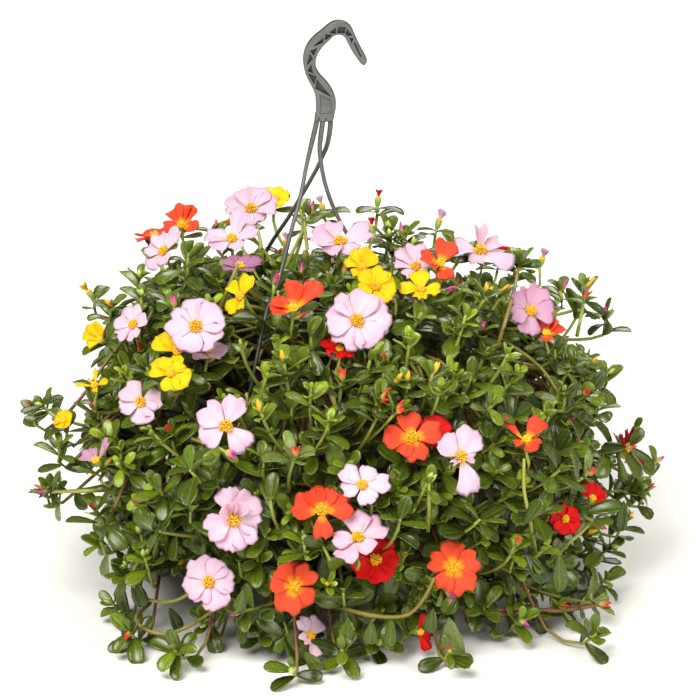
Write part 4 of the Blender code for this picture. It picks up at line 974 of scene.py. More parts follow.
def pot_radius(height):
    """The pot's outer radius at a height, 0 above its rim."""
    wall = BASE_RADIUS + (RIM_RADIUS - BASE_RADIUS) * height / POT_HEIGHT
    lip = np.where(height > POT_HEIGHT - 2 * LIP_HEIGHT, LIP_RADIUS, wall)
    return np.where(height < POT_HEIGHT + 0.002, lip, 0.0)


# Leaves

LEAF_RINGS = np.array([0.0, 0.12, 0.34, 0.58, 0.80, 0.95])
# Section of a leaf: across it from -1 to 1, and up through its flesh
LEAF_SECTION = np.array([[1.0, 0.0], [0.52, 0.85], [0.0, 0.35], [-0.52, 0.85], [-1.0, 0.0], [0.0, -0.90]])


def leaf_bodies(base, along, above, length, width, cup, curl, thickness):
    """Fleshy leaves, all at once. Along the leaf its half width goes as v to 0.7 times 1 - v to 4, to
    the power 0.6; its section is LEAF_SECTION, with a groove over the rib, whose sides lift as their
    distance from the rib to the power 1.5; the rib bends along an arc."""
    share = np.append(LEAF_RINGS, 1.0)
    spread = 0.09 * (1 - share) + share**0.7 * np.maximum(1 - share**4, 0.0) ** 0.6 / 0.66
    half = width[:, None] / 2 * spread
    sideways = half[..., None] * LEAF_SECTION[:, 0]
    body = thickness[:, None] / 2 * (0.35 + 0.65 * np.minimum(spread, 1.0))
    fold = cup[:, None, None] * np.abs(sideways) ** 1.5 / np.sqrt(width[:, None, None] / 2)
    lifted = body[..., None] * LEAF_SECTION[:, 1] + fold
    bend = curl[:, None] * share
    safe = np.where(np.abs(curl) < 1e-3, 1e-3, curl)[:, None]
    rib_along = length[:, None] * np.sin(bend) / safe
    rib_up = -length[:, None] * (1 - np.cos(bend)) / safe
    forward = rib_along[..., None] + lifted * np.sin(bend)[..., None]
    upward = rib_up[..., None] + lifted * np.cos(bend)[..., None]
    local = np.stack([forward, sideways, upward], axis=-1)
    body_points = local[:, :-1].reshape(len(base), -1, 3)
    tip = np.stack([rib_along[:, -1], np.zeros(len(base)), rib_up[:, -1]], axis=-1)[:, None]
    heel = np.zeros_like(tip)
    heel[..., 0] = -0.02 * length[:, None]
    local = np.concatenate([body_points, heel, tip], axis=1)
    above = unit(above - along * np.sum(above * along, axis=1, keepdims=True))
    frames = np.stack([along, np.cross(above, along), above], axis=-1)
    return base[:, None] + np.einsum("nij,npj->npi", frames, local)


def leaf_uv():
    """Across a leaf and along it, from 0 to 1."""
    across = np.tile(0.5 + 0.5 * LEAF_SECTION[:, 0], len(LEAF_RINGS))
    along = np.repeat(LEAF_RINGS, len(LEAF_SECTION))
    return np.vstack([np.column_stack([across, along]), [[0.5, 0.0], [0.5, 1.0]]])


def under_share():
    """1 on the leaf's underside, 0 on its top."""
    below = np.where(LEAF_SECTION[:, 1] < 0, 1.0, np.where(LEAF_SECTION[:, 1] > 0, 0.0, 0.3))
    return np.append(np.tile(below, len(LEAF_RINGS)), [0.3, 0.3])


def place_on(lines, back):
    """Points and headings on each line at distances back from its end. lines (n, k, 3), back (n, j)."""
    steps = np.linalg.norm(np.diff(lines, axis=1), axis=2)
    along = np.concatenate([np.zeros((len(lines), 1)), np.cumsum(steps, axis=1)], axis=1)
    spot = np.maximum(along[:, -1:] - back, 0.05 * along[:, -1:])
    low = np.sum(along[:, None, 1:-1] <= spot[..., None], axis=2)
    rows = np.arange(len(lines))[:, None]
    start = along[rows, low]
    share = ((spot - start) / (along[rows, low + 1] - start))[..., None]
    first = lines[rows, low]
    second = lines[rows, low + 1]
    return first + share * (second - first), unit(second - first)


# For each kind of shoot tip: how far back the leaf stations lie, in mm, the leaves' lengths, in mm, and
# their lean off the stem, in degrees, each read between the stations 0, 2, 5, 8 and 12; how bright its
# youngest leaves are, and how pale the whole shoot is
SHOOT_STATIONS = np.array([0, 2, 5, 8, 12])
SHOOTS = {
    "plain": ([1.0, 3.5, 10.0, 24.0, 62.0], [13.0, 18.5, 22.5, 23.0, 20.0], [25, 50, 72, 80, 92], 0.30, 0.0),
    "bloom": ([0.8, 2.0, 8.0, 26.0, 68.0], [20.0, 21.0, 21.0, 22.0, 19.0], [70, 82, 66, 78, 90], 0.15, 0.0),
    "young": ([0.8, 3.0, 9.0, 22.0, 60.0], [7.5, 12.0, 18.0, 20.0, 19.0], [14, 32, 58, 78, 88], 1.00, 0.0),
    "large": ([0.8, 2.5, 8.0, 22.0, 60.0], [19.0, 26.0, 27.0, 24.0, 20.0], [40, 70, 84, 84, 92], 0.10, 0.0),
    "pale": ([0.8, 2.2, 7.0, 22.0, 60.0], [17.0, 22.0, 23.0, 22.0, 20.0], [42, 68, 82, 84, 92], 0.15, 1.0),
}
KINDS = list(SHOOTS)


def leaves_along(lines, number, kinds, draw):
    """Leaf stations down each shoot, closer towards the tip, a golden angle apart round the stem."""
    step = np.arange(number)
    tables = np.array([[np.interp(step, SHOOT_STATIONS, SHOOTS[kind][row]) for kind in KINDS]
                       for row in range(3)])
    back, size, lean = tables[:, kinds] * np.array([0.001, 0.001, 1.0])[:, None, None]
    bright, pale = (np.array([SHOOTS[kind][row] for kind in KINDS])[kinds] for row in (3, 4))
    shape = back.shape
    back = back * draw.uniform(0.85, 1.15, shape)
    base, head = place_on(lines, back)
    turn = draw.uniform(0, 2 * np.pi, (len(lines), 1)) + step * math.radians(137.5)
    turn = turn + draw.uniform(-0.3, 0.3, shape)
    helper = np.where(np.abs(head[..., 2:]) < 0.9, [0.0, 0.0, 1.0], [0.0, 1.0, 0.0])
    frames = square_frames(head, helper)
    aside = frames[..., 0] * np.cos(turn)[..., None] + frames[..., 1] * np.sin(turn)[..., None]
    lean = np.radians(lean + draw.uniform(-13.0, 13.0, shape))[..., None]
    along = unit(np.cos(lean) * head + np.sin(lean) * aside + [0.0, 0.0, 0.10])
    above = unit(head - along * np.sum(head * along, axis=-1, keepdims=True) + [0.0, 0.0, 0.55]
                 + draw.uniform(-0.32, 0.32, (*shape, 3)))
    length = size * draw.uniform(0.78, 1.18, shape)
    return {
        "base": base, "along": along, "above": above, "length": length,
        "width": length * draw.uniform(0.44, 0.58, shape),
        "cup": draw.uniform(0.10, 0.50, shape), "curl": draw.uniform(-0.25, 0.95, shape),
        "thickness": draw.uniform(0.0010, 0.0015, shape),
        "age": np.clip(back / 0.045, 0.0, 1.0),
        "bright": np.broadcast_to(bright[:, None], shape), "back": back,
        "bloom": np.broadcast_to((np.array(kinds) == KINDS.index("bloom"))[:, None], shape).astype(float),
        "pale": np.broadcast_to(pale[:, None], shape),
    }


def leaf_tints(leaves, draw):
    """Each leaf's green: young and bright at the tips, dark further down, paler underneath."""
    count = len(leaves["age"])
    spread = draw.uniform(0.0, 1.0, count)[:, None] ** 1.3
    green = LEAF_DARK + (LEAF_MID - LEAF_DARK) * spread
    fresh = np.clip(1.0 - leaves["age"] * 2.2, 0.0, 1.0)[:, None]
    fresh = fresh * leaves["bright"][:, None] * draw.uniform(0.4, 1.2, (count, 1))
    green = green + (LEAF_YOUNG - green) * np.clip(fresh, 0.0, 0.9)
    green = green + (LEAF_PALE - green) * leaves["pale"][:, None] * (1 - leaves["age"][:, None])
    green = green * draw.uniform(0.82, 1.18, (count, 1))
    under = under_share()[None, :, None]
    back = 0.50 * green[:, None] + 0.50 * LEAF_UNDER
    return green[:, None] * (1 - under) + back * under


# Blooms, buds and spent flowers

# Points outwards and across on a petal, where its root lies over its reach, its thickness in metres, and
# how many petals a bloom has that isn't in PETALS
PETAL_RINGS = 10
PETAL_ACROSS = 13
PETAL_ROOT = 0.06
PETAL_THICKNESS = 0.00035
REGULAR_PETALS = 5


def regular_petals(spin, openness, draw):
    """Five much alike petals, a fifth of a turn apart."""
    petals = []
    for k in range(REGULAR_PETALS):
        petals.append((spin + 72 * k + draw.uniform(-5, 5), draw.uniform(0.92, 1.06), draw.uniform(39, 47),
                       openness + draw.uniform(-0.08, 0.08)))
    return petals


def petal_parts(radius, petals, closing, draw):
    """Petals, each a fan surface with parameters r outwards and q across. Its half angle opens with r;
    its reach falls off at the shoulders as |q| to 3 and dips in a notch near q = 0; its height rises as r to
    1.4, tilts a little so that one edge lies over the next petal, and ruffles towards the rim. The
    underside is the same surface a little lower, sewn to the top round the edge. closing turns every
    petal up about its root, which shuts the bloom."""
    out, across = np.meshgrid(np.linspace(PETAL_ROOT, 1.0, PETAL_RINGS), np.linspace(-1, 1, PETAL_ACROSS),
                              indexing="ij")
    tops = []
    for direction, reach, half, rise in petals:
        phase = draw.uniform(0, 2 * np.pi, 4)
        half_angle = math.radians(1.12 * half) * (0.93 + 0.07 * np.clip(out / 0.50, 0, 1))
        notch = draw.uniform(0.05, 0.16)
        ends = reach - notch * np.exp(-(((across - draw.uniform(-0.15, 0.15)) / 0.16) ** 2))
        ends = ends - 0.30 * np.abs(across) ** 3.0 + 0.034 * np.sin(8 * across + phase[0])
        ends = ends + 0.020 * np.sin(19 * across + phase[3])
        far = out * ends * radius
        angle = math.radians(direction) + half_angle * across + 0.05 * out * np.sin(2 * out + phase[3])
        height = rise * out**1.4 + 0.040 * across * out + 0.075 * out**2 * np.sin(5 * across + phase[1])
        height = height + 0.05 * np.sin(3 * out + phase[2]) * across**2 * out
        height = height - np.clip(out - 0.70, 0, 1) * draw.uniform(0.0, 0.35)
        height = height + 0.10 * draw.uniform(-0.3, 1.0) * across**2 * out
        flat = far * math.cos(closing) - radius * height * math.sin(closing)
        tall = far * math.sin(closing) + radius * height * math.cos(closing)
        tops.append(np.stack([flat * np.cos(angle), flat * np.sin(angle), tall], axis=-1).reshape(-1, 3))
    top = np.array(tops)
    count = PETAL_RINGS * PETAL_ACROSS
    rim = np.zeros((PETAL_RINGS, PETAL_ACROSS), bool)
    rim[0] = rim[-1] = rim[:, 0] = rim[:, -1] = True
    inner = np.flatnonzero(~rim.ravel())
    below = top[:, inner] - [0.0, 0.0, PETAL_THICKNESS]
    under = np.arange(count)
    under[inner] = count + np.arange(len(inner))
    ring, side = np.meshgrid(np.arange(PETAL_RINGS - 1), np.arange(PETAL_ACROSS - 1), indexing="ij")
    corner = (ring * PETAL_ACROSS + side).ravel()
    quads = np.stack([corner, corner + PETAL_ACROSS, corner + PETAL_ACROSS + 1, corner + 1], axis=-1)
    quads = np.vstack([quads, under[quads[:, ::-1]]])
    uv = np.stack([0.5 + 0.5 * across.ravel(), out.ravel()], axis=-1)
    return np.concatenate([top, below], axis=1), quads, np.vstack([uv, uv[inner]])


# A six-pointed grain, for the anthers
ANTHER = np.array([[1, 0, 0], [0, 1, 0], [-1, 0, 0], [0, -1, 0], [0, 0, 1.4], [0, 0, -1.4]], float)
ANTHER_FACES = np.array([[0, 1, 4], [1, 2, 4], [2, 3, 4], [3, 0, 4],
                         [1, 0, 5], [2, 1, 5], [3, 2, 5], [0, 3, 5]])
STAMENS = 38
STAMEN_LEAN = 1.15
FILAMENT_RADIUS = 0.00020
FILAMENT_BEND = 0.0008
STIGMA_ARMS = 5
STIGMA_RADIUS = 0.00034
BUD_SIDES = 6

# A shut bloom: how far its petals turn up, its size over the open one, and how deep its colour is; and
# the share of a front bloom's radius that hides one behind it
CLOSED_TURN = math.radians(76)
CLOSED_SHARE = 0.52
CLOSED_DEPTH = 0.72
HIDING_SHARE = 0.8

# The calyx: how many rings and sides, and its radius at shares of its length
CALYX_RINGS = 6
CALYX_SIDES = 8
CALYX_SHARES = (0, 0.35, 0.8, 1.0)
CALYX_RADII = (0.0014, 0.0025, 0.0030, 0.0022)


def stamen_parts(radius, draw):
    """A tuft of bent filaments that lean outwards, each with an anther, round a pale split stigma."""
    turn = np.arange(STAMENS) * 2.39996 + draw.uniform(0, 6)
    lean = STAMEN_LEAN * np.sqrt((np.arange(STAMENS) + 0.5) / STAMENS)
    tall = radius * (0.25 - 0.02 * lean) * draw.uniform(0.82, 1.12, STAMENS)
    top = np.stack([np.sin(lean) * np.cos(turn), np.sin(lean) * np.sin(turn), np.cos(lean)], axis=-1)
    top = top * tall[:, None]
    share = np.linspace(0, 1, 3)[None, :, None]
    lines = top[:, None] * share + np.array([0, 0, FILAMENT_BEND]) * np.sin(np.pi * share)
    body = tubes(lines, np.full((STAMENS, 3), FILAMENT_RADIUS), 3)
    corners = tube_corners(3, 3)
    parts = [part_of(body, *corners, tube_uv(3, 3), FILAMENT, 1)]
    heads = top[:, None] + ANTHER * draw.uniform(0.00075, 0.00110, (STAMENS, 1, 1))
    gold = GOLD * draw.uniform(0.85, 1.15, (STAMENS, 1, 1))
    parts.append(part_of(heads, NO_QUADS, ANTHER_FACES, np.zeros((6, 2)), gold, 1))
    lobes = np.arange(STIGMA_ARMS) * 2 * np.pi / STIGMA_ARMS + draw.uniform(0, 1)
    arms = np.stack([0.55 * np.cos(lobes), 0.55 * np.sin(lobes), np.ones(STIGMA_ARMS)], axis=-1)
    arms = arms * radius * 0.30
    lines = np.array([0, 0, radius * 0.16]) * (1 - share) + arms[:, None] * share
    body = tubes(lines, np.full((STIGMA_ARMS, 3), STIGMA_RADIUS), 3)
    parts.append(part_of(body, *corners, tube_uv(3, 3), STIGMA, 1))
    return parts


def ovoids(base, axis, length, thick, tints, pinch):
    """Pointed buds: the radius along each is the root of sin(pi v) to the power pinch, and the tint runs
    from the first colour to the second. base, axis (n, 3); tints (n, 2, 3)."""
    share = np.array([0.03, 0.16, 0.34, 0.52, 0.70, 0.86, 0.96])
    lines = base[:, None] + axis[:, None] * (share[None, :, None] * length[:, None, None])
    radii = thick[:, None] * np.sin(np.pi * share[None] ** pinch[:, None]) ** 0.75
    points = tubes(lines, radii, BUD_SIDES)
    quads, triangles = tube_corners(len(share), BUD_SIDES)
    mixed = np.append(np.repeat(share, BUD_SIDES), [0.0, 1.0])[None, :, None]
    mixed = np.clip((mixed - 0.30) / 0.35, 0.0, 1.0)
    tint = tints[:, :1] * (1 - mixed) + tints[:, 1:] * mixed
    return part_of(points, quads, triangles, tube_uv(len(share), BUD_SIDES), tint)


def stands_out(centre):
    """Whether the front view would show a bloom here above or beside both the leaves and the blooms."""
    place = seen_at(centre[None])
    hidden = any(math.dist(place[0], (across, down)) < HIDING_SHARE * width / 2 / PIXEL
                 for _, across, down, width, *_ in FRONT_BLOOMS)
    return not hidden and not within(place, LEAFY_OUTLINE)[0]


def bloom_object(bloom, materials, name, replaced):
    """One bloom: petals, stamens and stigma, and a green calyx that comes down to the stem. A bloom behind
    the plant that the front view would show above or beside the leaves is shut."""
    _, centre, face, radius, seen, spin, number = bloom
    draw = random_draw(5, number)
    openness = draw.uniform(0.12, 0.40)
    helper = np.array([0.0, 0.0, 1.0]) if abs(face[2]) < 0.97 else np.array([0.0, 1.0, 0.0])
    basis = square_frames(face, helper)
    petals = PETALS.get(seen) or regular_petals(spin, openness, draw)
    closing = 0.0
    if seen is None and stands_out(centre):
        closing = CLOSED_TURN
        radius = CLOSED_SHARE * radius
        petals = [(direction, reach, half, 0.0) for direction, reach, half, _ in petals]
    points, quads, uv = petal_parts(radius, petals, closing, draw)
    # Painted shade: the blooms of the table of shaded blooms are darkened for the shade they sit in; the
    # others get a slight random tone, and shut ones their deeper colour
    deep = CLOSED_DEPTH if closing else PAINTED_SHADE_BLOOMS.get(seen, draw.uniform(0.93, 1.0))
    parts = [part_of(points, quads, NO_TRIANGLES, uv, np.array([deep, deep**1.5, deep]), 0)]
    parts += stamen_parts(radius, draw)
    share = np.linspace(0, 1, CALYX_RINGS)
    line = (np.array([0.0, 0.0, -CALYX]) + np.outer(share, [0.0, 0.0, CALYX + 0.10 * radius]))[None]
    body = tubes(line, np.interp(share, CALYX_SHARES, CALYX_RADII)[None], CALYX_SIDES)
    corners = tube_corners(CALYX_RINGS, CALYX_SIDES)
    parts.append(part_of(body, *corners, tube_uv(CALYX_RINGS, CALYX_SIDES), CALYX_GREEN, 2))
    for part in parts:
        part["points"] = centre + part["points"] @ basis.T
    return make_piece(name, parts, materials, replaced)


# Plant


def shoot_plan(blooms, draw):
    """Every shoot's tip, direction and kind: first those on stems of their own, then side shoots."""
    own = []
    for _, centre, face, *_ in blooms:
        own.append((centre - (CALYX + GAP) * face, face, "bloom"))
    for across, down in OUTLINE_TIPS:
        tip = on_dome(across, down)
        own.append((tip, unit(dome_normal(tip) + [0.0, 0.0, 0.75]), "plain"))
    for tip in leafy_places(LEAFY_TIPS, 0.90, 0.97, draw):
        own.append((tip, unit(dome_normal(tip) + [0.0, 0.0, 0.75]), "plain"))
    side = []
    for across, down, way, kind, _ in PICTURED_SHOOTS:
        tip = on_dome(across, down, -0.008 if kind == "young" else -0.003)
        way = math.radians(way)
        face = math.cos(way) * PICTURE_RIGHT + math.sin(way) * PICTURE_UP + 0.55 * dome_normal(tip)
        side.append((tip, unit(face), kind))
    for count, least, most in ((OUTER_SHOOTS, 0.80, 1.0), (UNDER_SHOOTS, 0.55, 0.78)):
        for tip in leafy_places(count, least, most, draw):
            face = unit(dome_normal(tip) + [0.0, 0.0, 0.65] + draw.uniform(-0.3, 0.3, 3))
            kind = "plain"
            if draw.uniform() < YOUNG_SHARE:
                kind = "young"
            elif draw.uniform() < LARGE_SHARE:
                kind = "large"
            side.append((tip, face, kind))
    return own, side


def leafy_places(count, least, most, draw):
    """Places spread over the dome, between these shares of its radii, that the front view shows within
    the leafy mass and that lie outside the pot. Those over the top of the mass sink until they are in it,
    so the plant is lower behind, and low ones beside it move in towards the pot."""
    spots = spiral_on_dome(count, 1.0, -0.54) * draw.uniform(least, most, (count, 1))
    spots = spots + draw.uniform(-PLACE_SPREAD, PLACE_SPREAD, (count, 3))
    for _ in range(SINK_STEPS):
        places = DOME_MIDDLE + DOME_RADII * spots
        places[:, 2] = np.maximum(places[:, 2], LOWEST_PLACE)
        beyond = ~within(seen_at(places), LEAFY_OUTLINE)
        spots[beyond & (places[:, 2] > CROWN_TOP), 2] -= SINK
        spots[beyond & (places[:, 2] <= CROWN_TOP), :2] *= MOVE_IN
    outside = np.hypot(places[:, 0], places[:, 1]) > pot_radius(places[:, 2]) + 0.012
    return places[outside & within(seen_at(places), LEAFY_OUTLINE)]


def back_shoots(mains, draw):
    """Side shoots that stand on the stems over the back of the mass, which would lie bare without them."""
    spots = mains[:, 4:-4:2].reshape(-1, 3)
    spots = spots[(spots[:, 1] > 0.03) & (spots[:, 2] > CROWN_TOP - 0.02)]
    tips = spots + 0.010 * dome_normal(spots) + draw.uniform(-0.008, 0.008, spots.shape)
    tips = tips[within(seen_at(tips), LEAFY_OUTLINE)]
    tips = tips[draw.permutation(len(tips))[:BACK_SHOOTS]]
    faces = unit(dome_normal(tips) + [0.0, 0.0, 0.65] + draw.uniform(-0.3, 0.3, tips.shape))
    return [(tip, face, "plain") for tip, face in zip(tips, faces)]


def stack_leaves(sets):
    """Leaf arrays of several sets, joined, with each leaf's values in one row."""
    joined = {}
    for key in sets[0]:
        rows = [group[key].reshape(-1, 3) if group[key].ndim > 2 or key in ("base", "along", "above")
                else group[key].ravel() for group in sets]
        joined[key] = np.concatenate(rows)
    return joined


def pictured_leaves(draw):
    """The leaves of PICTURED_LEAVES, with their faces turned up and towards the front."""
    base = []
    end = []
    for across, down, end_across, end_down, _ in PICTURED_LEAVES:
        start = on_dome(across, down, -0.006)
        base.append(start)
        end.append(at_depth(end_across, end_down, start[1] - 0.004))
    base = np.array(base)
    span = np.array(end) - base
    count = len(base)
    length = np.linalg.norm(span, axis=1)
    return {
        "base": base, "along": unit(span),
        "above": TO_EYE + [0.0, 0.0, 0.5] + draw.uniform(-0.3, 0.3, (count, 3)),
        "length": length, "width": length * np.array([leaf[-1] for leaf in PICTURED_LEAVES]),
        "cup": draw.uniform(0.10, 0.40, count), "curl": draw.uniform(0.0, 0.5, count),
        "thickness": draw.uniform(0.0011, 0.0015, count), "age": np.append(0.0, np.full(count - 1, 0.7)),
        "bright": np.full(count, 0.1), "back": np.zeros(count), "bloom": np.zeros(count),
        "pale": np.append(1.0, np.zeros(count - 1)),
    }


def grow_leaves(own, side, mains, lines, owners, side_owners, blooms, draw):
    """The leaves that stay, the bunch of each, and which side shoots have enough leaves to stand."""
    sets = [leaves_along(mains, MAIN_LEAVES, [KINDS.index(kind) for _, _, kind in own], draw),
            leaves_along(lines, SIDE_LEAVES, [KINDS.index(kind) for _, _, kind in side], draw),
            pictured_leaves(draw)]
    leaves = stack_leaves(sets)
    leaf_owner = np.concatenate([np.repeat(owners, MAIN_LEAVES), np.repeat(side_owners, SIDE_LEAVES),
                                 [bunch_of(base) for base in sets[2]["base"]]])
    lowest = (LEAF_CLEAR - leaves["base"][:, 2]) / leaves["length"]
    leaves["along"][:, 2] = np.maximum(leaves["along"][:, 2], lowest)
    leaves["along"] = unit(leaves["along"])
    keep = leaf_keepers(leaves, blooms)
    keep &= (leaves["bloom"] < 0.5) | (leaves["back"] < BARE_NECK[0]) | (leaves["back"] > BARE_NECK[1])
    keep &= (leaves["back"] < TIP_CLUSTER) | within(seen_at(leaves["base"]), LEAFY_OUTLINE)
    seen = seen_at(leaves["base"] + leaves["length"][:, None] * leaves["along"])
    keep &= (seen[:, 0] > PICTURE_LEFT) & (seen[:, 0] < PICTURE_RIGHT_END)
    keep[-len(PICTURED_LEAVES):] = True
    of_side = slice(len(mains) * MAIN_LEAVES, -len(PICTURED_LEAVES))
    leafy = keep[of_side].reshape(len(lines), SIDE_LEAVES).sum(axis=1) >= LEAST_LEAVES
    leafy &= ~covers(lines[:, -1], blooms)
    leafy[: len(PICTURED_SHOOTS)] = True
    keep[of_side] &= np.repeat(leafy, SIDE_LEAVES)
    return {key: value[keep] for key, value in leaves.items()}, leaf_owner[keep], leafy


def grow_plant():
    """Stems, leaves and buds, in pieces for each bunch. A leaf that would pass the solids' box is left
    out. Returns the blooms, which are made after them."""
    places = crown_places()
    blooms = petal_sprays()
    draw = random_draw(10)
    own, side = shoot_plan(blooms, draw)
    mains = np.array([main_stem(places[bunch_of(tip)], tip, face, draw) for tip, face, _ in own])
    side += back_shoots(mains, random_draw(14))
    owners = np.array([bunch_of(tip) for tip, _, _ in own])
    middle = slice(6, STEM_POINTS - 3)
    samples = mains[:, middle].reshape(-1, 3)
    heads = unit(np.gradient(mains, axis=1))[:, middle].reshape(-1, 3)
    roots = np.repeat(owners, len(samples) // len(mains))
    free = np.hypot(samples[:, 0], samples[:, 1]) > pot_radius(samples[:, 2]) + 0.003
    side_tips = np.array([tip for tip, _, _ in side])
    side_faces = np.array([face for _, face, _ in side])
    lines, root = side_shoots(side_tips, side_faces, samples[free], heads[free])
    side_owners = roots[free][root]

    leaves, leaf_owner, leafy = grow_leaves(own, side, mains, lines, owners, side_owners, blooms, draw)
    bodies = leaf_bodies(*(leaves[key] for key in ("base", "along", "above", "length", "width", "cup",
                                                   "curl", "thickness")))
    bodies[..., 2] = np.maximum(bodies[..., 2], FLESH_CLEAR)
    inside = np.all((bodies > CAD_BOX[0]) & (bodies < CAD_BOX[1]), axis=(1, 2))
    tints = leaf_tints(leaves, random_draw(11))
    leaf = leaf_finish()
    stem = stem_finish()
    bud = bud_finish()
    leaf_corners = tube_corners(len(LEAF_RINGS), len(LEAF_SECTION))
    groups = [(mains, ROOT_RADIUS, owners), (lines[leafy], SIDE_RADIUS, side_owners[leafy])]
    bare = pictured_stems()
    buds = bud_places(own, side, owners, side_owners, leafy, blooms, random_draw(12))
    for index, (name, circle, turn) in enumerate(places):
        mine = (leaf_owner == index) & inside
        make_piece(f"leaves_{name}", [part_of(bodies[mine], *leaf_corners, leaf_uv(), tints[mine])],
                   [leaf], (f"bunch_{name}",))
        stems = [crown_part(circle, turn, random_draw(13, index))]
        for group, radius, owner in groups:
            if np.any(owner == index):
                stems.append(stem_part(group[owner == index], radius))
        for age, line in bare:
            if bunch_of(line[-1]) == index:
                stems.append(stem_part(line[None], BARE_RADIUS, age))
        make_piece(f"stems_{name}", stems, [stem])
        some = buds["owner"] == index
        if np.any(some):
            shapes = {key: value[some] for key, value in buds.items() if key != "owner"}
            make_piece(f"buds_{name}", [ovoids(**shapes)], [bud])
    return blooms


def pictured_stems():
    """The stems of PICTURED_STEMS, a little in front of the dome, coming out from under the leaves."""
    stems = []
    for age, places in PICTURED_STEMS:
        sunk = [0.030] + [-0.004] * (len(places) - 1)
        line = smooth_line([on_dome(*place, depth) for place, depth in zip(places, sunk)], STEM_POINTS)
        line[:, 2] = np.maximum(line[:, 2], TABLE_CLEAR)
        stems.append((age, line))
    return stems


# How far behind and before a bloom, in metres, and within what share of its radius a point covers it
COVER_BEHIND = -0.002
COVER_BEFORE = 0.075
COVER_SHARE = 0.92


def covers(spots, blooms):
    """Which of these points lie over a bloom, from in front or from its own face."""
    over = np.zeros(len(spots), bool)
    for _, centre, face, radius, *_ in blooms:
        for line in (face, TO_EYE):
            if face.dot(TO_EYE) < 0.2 and line is TO_EYE:
                continue
            away = spots - centre
            before = away @ line
            beside = np.linalg.norm(away - before[:, None] * line, axis=1)
            over |= (before > COVER_BEHIND) & (before < COVER_BEFORE) & (beside < COVER_SHARE * radius)
    return over


# How far leaves keep from the pot and, in space, from an arm; and how far beside the front and back arms
# a leaf before them keeps, above the picture's row CLEAR_ARMS and below it
POT_CLEAR = 0.0012
ARM_CLEAR = 0.0055
BESIDE_ARM_HIGH = 0.0065
BESIDE_ARM_LOW = 0.0030
ARM_CHECKS = 60


def leaf_keepers(leaves, blooms):
    """Which leaves stay: those that cover no bloom, and that reach into neither the pot nor an arm."""
    middle = leaves["base"] + 0.6 * leaves["length"][:, None] * leaves["along"]
    tip = leaves["base"] + leaves["length"][:, None] * leaves["along"]
    keep = ~covers(middle, blooms) & ~covers(tip, blooms)
    for spot in (middle, tip, leaves["base"]):
        keep &= np.hypot(spot[:, 0], spot[:, 1]) > pot_radius(spot[:, 2]) + POT_CLEAR
    for side in ARMS:
        line = arm_line(side, ARM_CHECKS)
        for spot in (middle, tip):
            away = spot[:, None] - line[None]
            keep &= np.linalg.norm(away, axis=2).min(axis=1) > ARM_CLEAR
            if side == "right":
                continue
            before = away @ TO_EYE
            beside = np.linalg.norm(away - before[..., None] * TO_EYE, axis=2)
            beside = np.where(before > 0, beside, 1.0).min(axis=1)
            high = seen_at(spot)[:, 1] < CLEAR_ARMS
            keep &= beside > np.where(high, BESIDE_ARM_HIGH, BESIDE_ARM_LOW)
    return keep


def stem_part(lines, root_radius, age=None):
    """Tubes along the stems, thinner towards the tips. Their tint goes from the old colour to the young
    one near the tip, and stays greener above the rim, or is the same all along where an age is given."""
    rings = lines.shape[1]
    radii = np.linspace(root_radius, TIP_RADIUS, rings)[None].repeat(len(lines), axis=0)
    points = tubes(lines, radii, STEM_SIDES)
    length = np.sum(np.linalg.norm(np.diff(lines, axis=1), axis=2), axis=1)
    share = np.append(np.repeat(np.linspace(0, 1, rings), STEM_SIDES), [0.0, 1.0])
    back = (1 - share)[None] * length[:, None]
    lit = np.clip((points[..., 2] - POT_HEIGHT) / 0.035, 0, 1)
    aged = np.clip((back - 0.012) / 0.050, 0, 1) * (1 - GREEN_ABOVE * lit)
    old = aged[..., None] if age is None else age
    tint = STEM_YOUNG * (1 - old) + STEM_OLD * old
    return part_of(points, *tube_corners(rings, STEM_SIDES), tube_uv(rings, STEM_SIDES), tint)


CROWN_RINGS = 9
CROWN_SIDES = 12


def crown_part(circle, turn, draw):
    """The knobbly woody foot of a bunch, in its hole in the soil."""
    share = np.linspace(0, 1, CROWN_RINGS)
    height = 0.113 + (CROWN_TOP - 0.114) * share
    line = np.column_stack([np.full(CROWN_RINGS, circle * math.cos(turn)),
                            np.full(CROWN_RINGS, circle * math.sin(turn)), height])
    radii = CROWN_RADIUS * (0.72 + 0.16 * np.sin(5 * share + draw.uniform(0, 6)))
    radii[-1] *= 0.6
    points = tubes(line[None], radii[None], CROWN_SIDES)
    points[0, :-2] += draw.uniform(-0.0006, 0.0006, points[0, :-2].shape)
    uv = tube_uv(CROWN_RINGS, CROWN_SIDES)
    return part_of(points, *tube_corners(CROWN_RINGS, CROWN_SIDES), uv, STEM_OLD * 0.8)


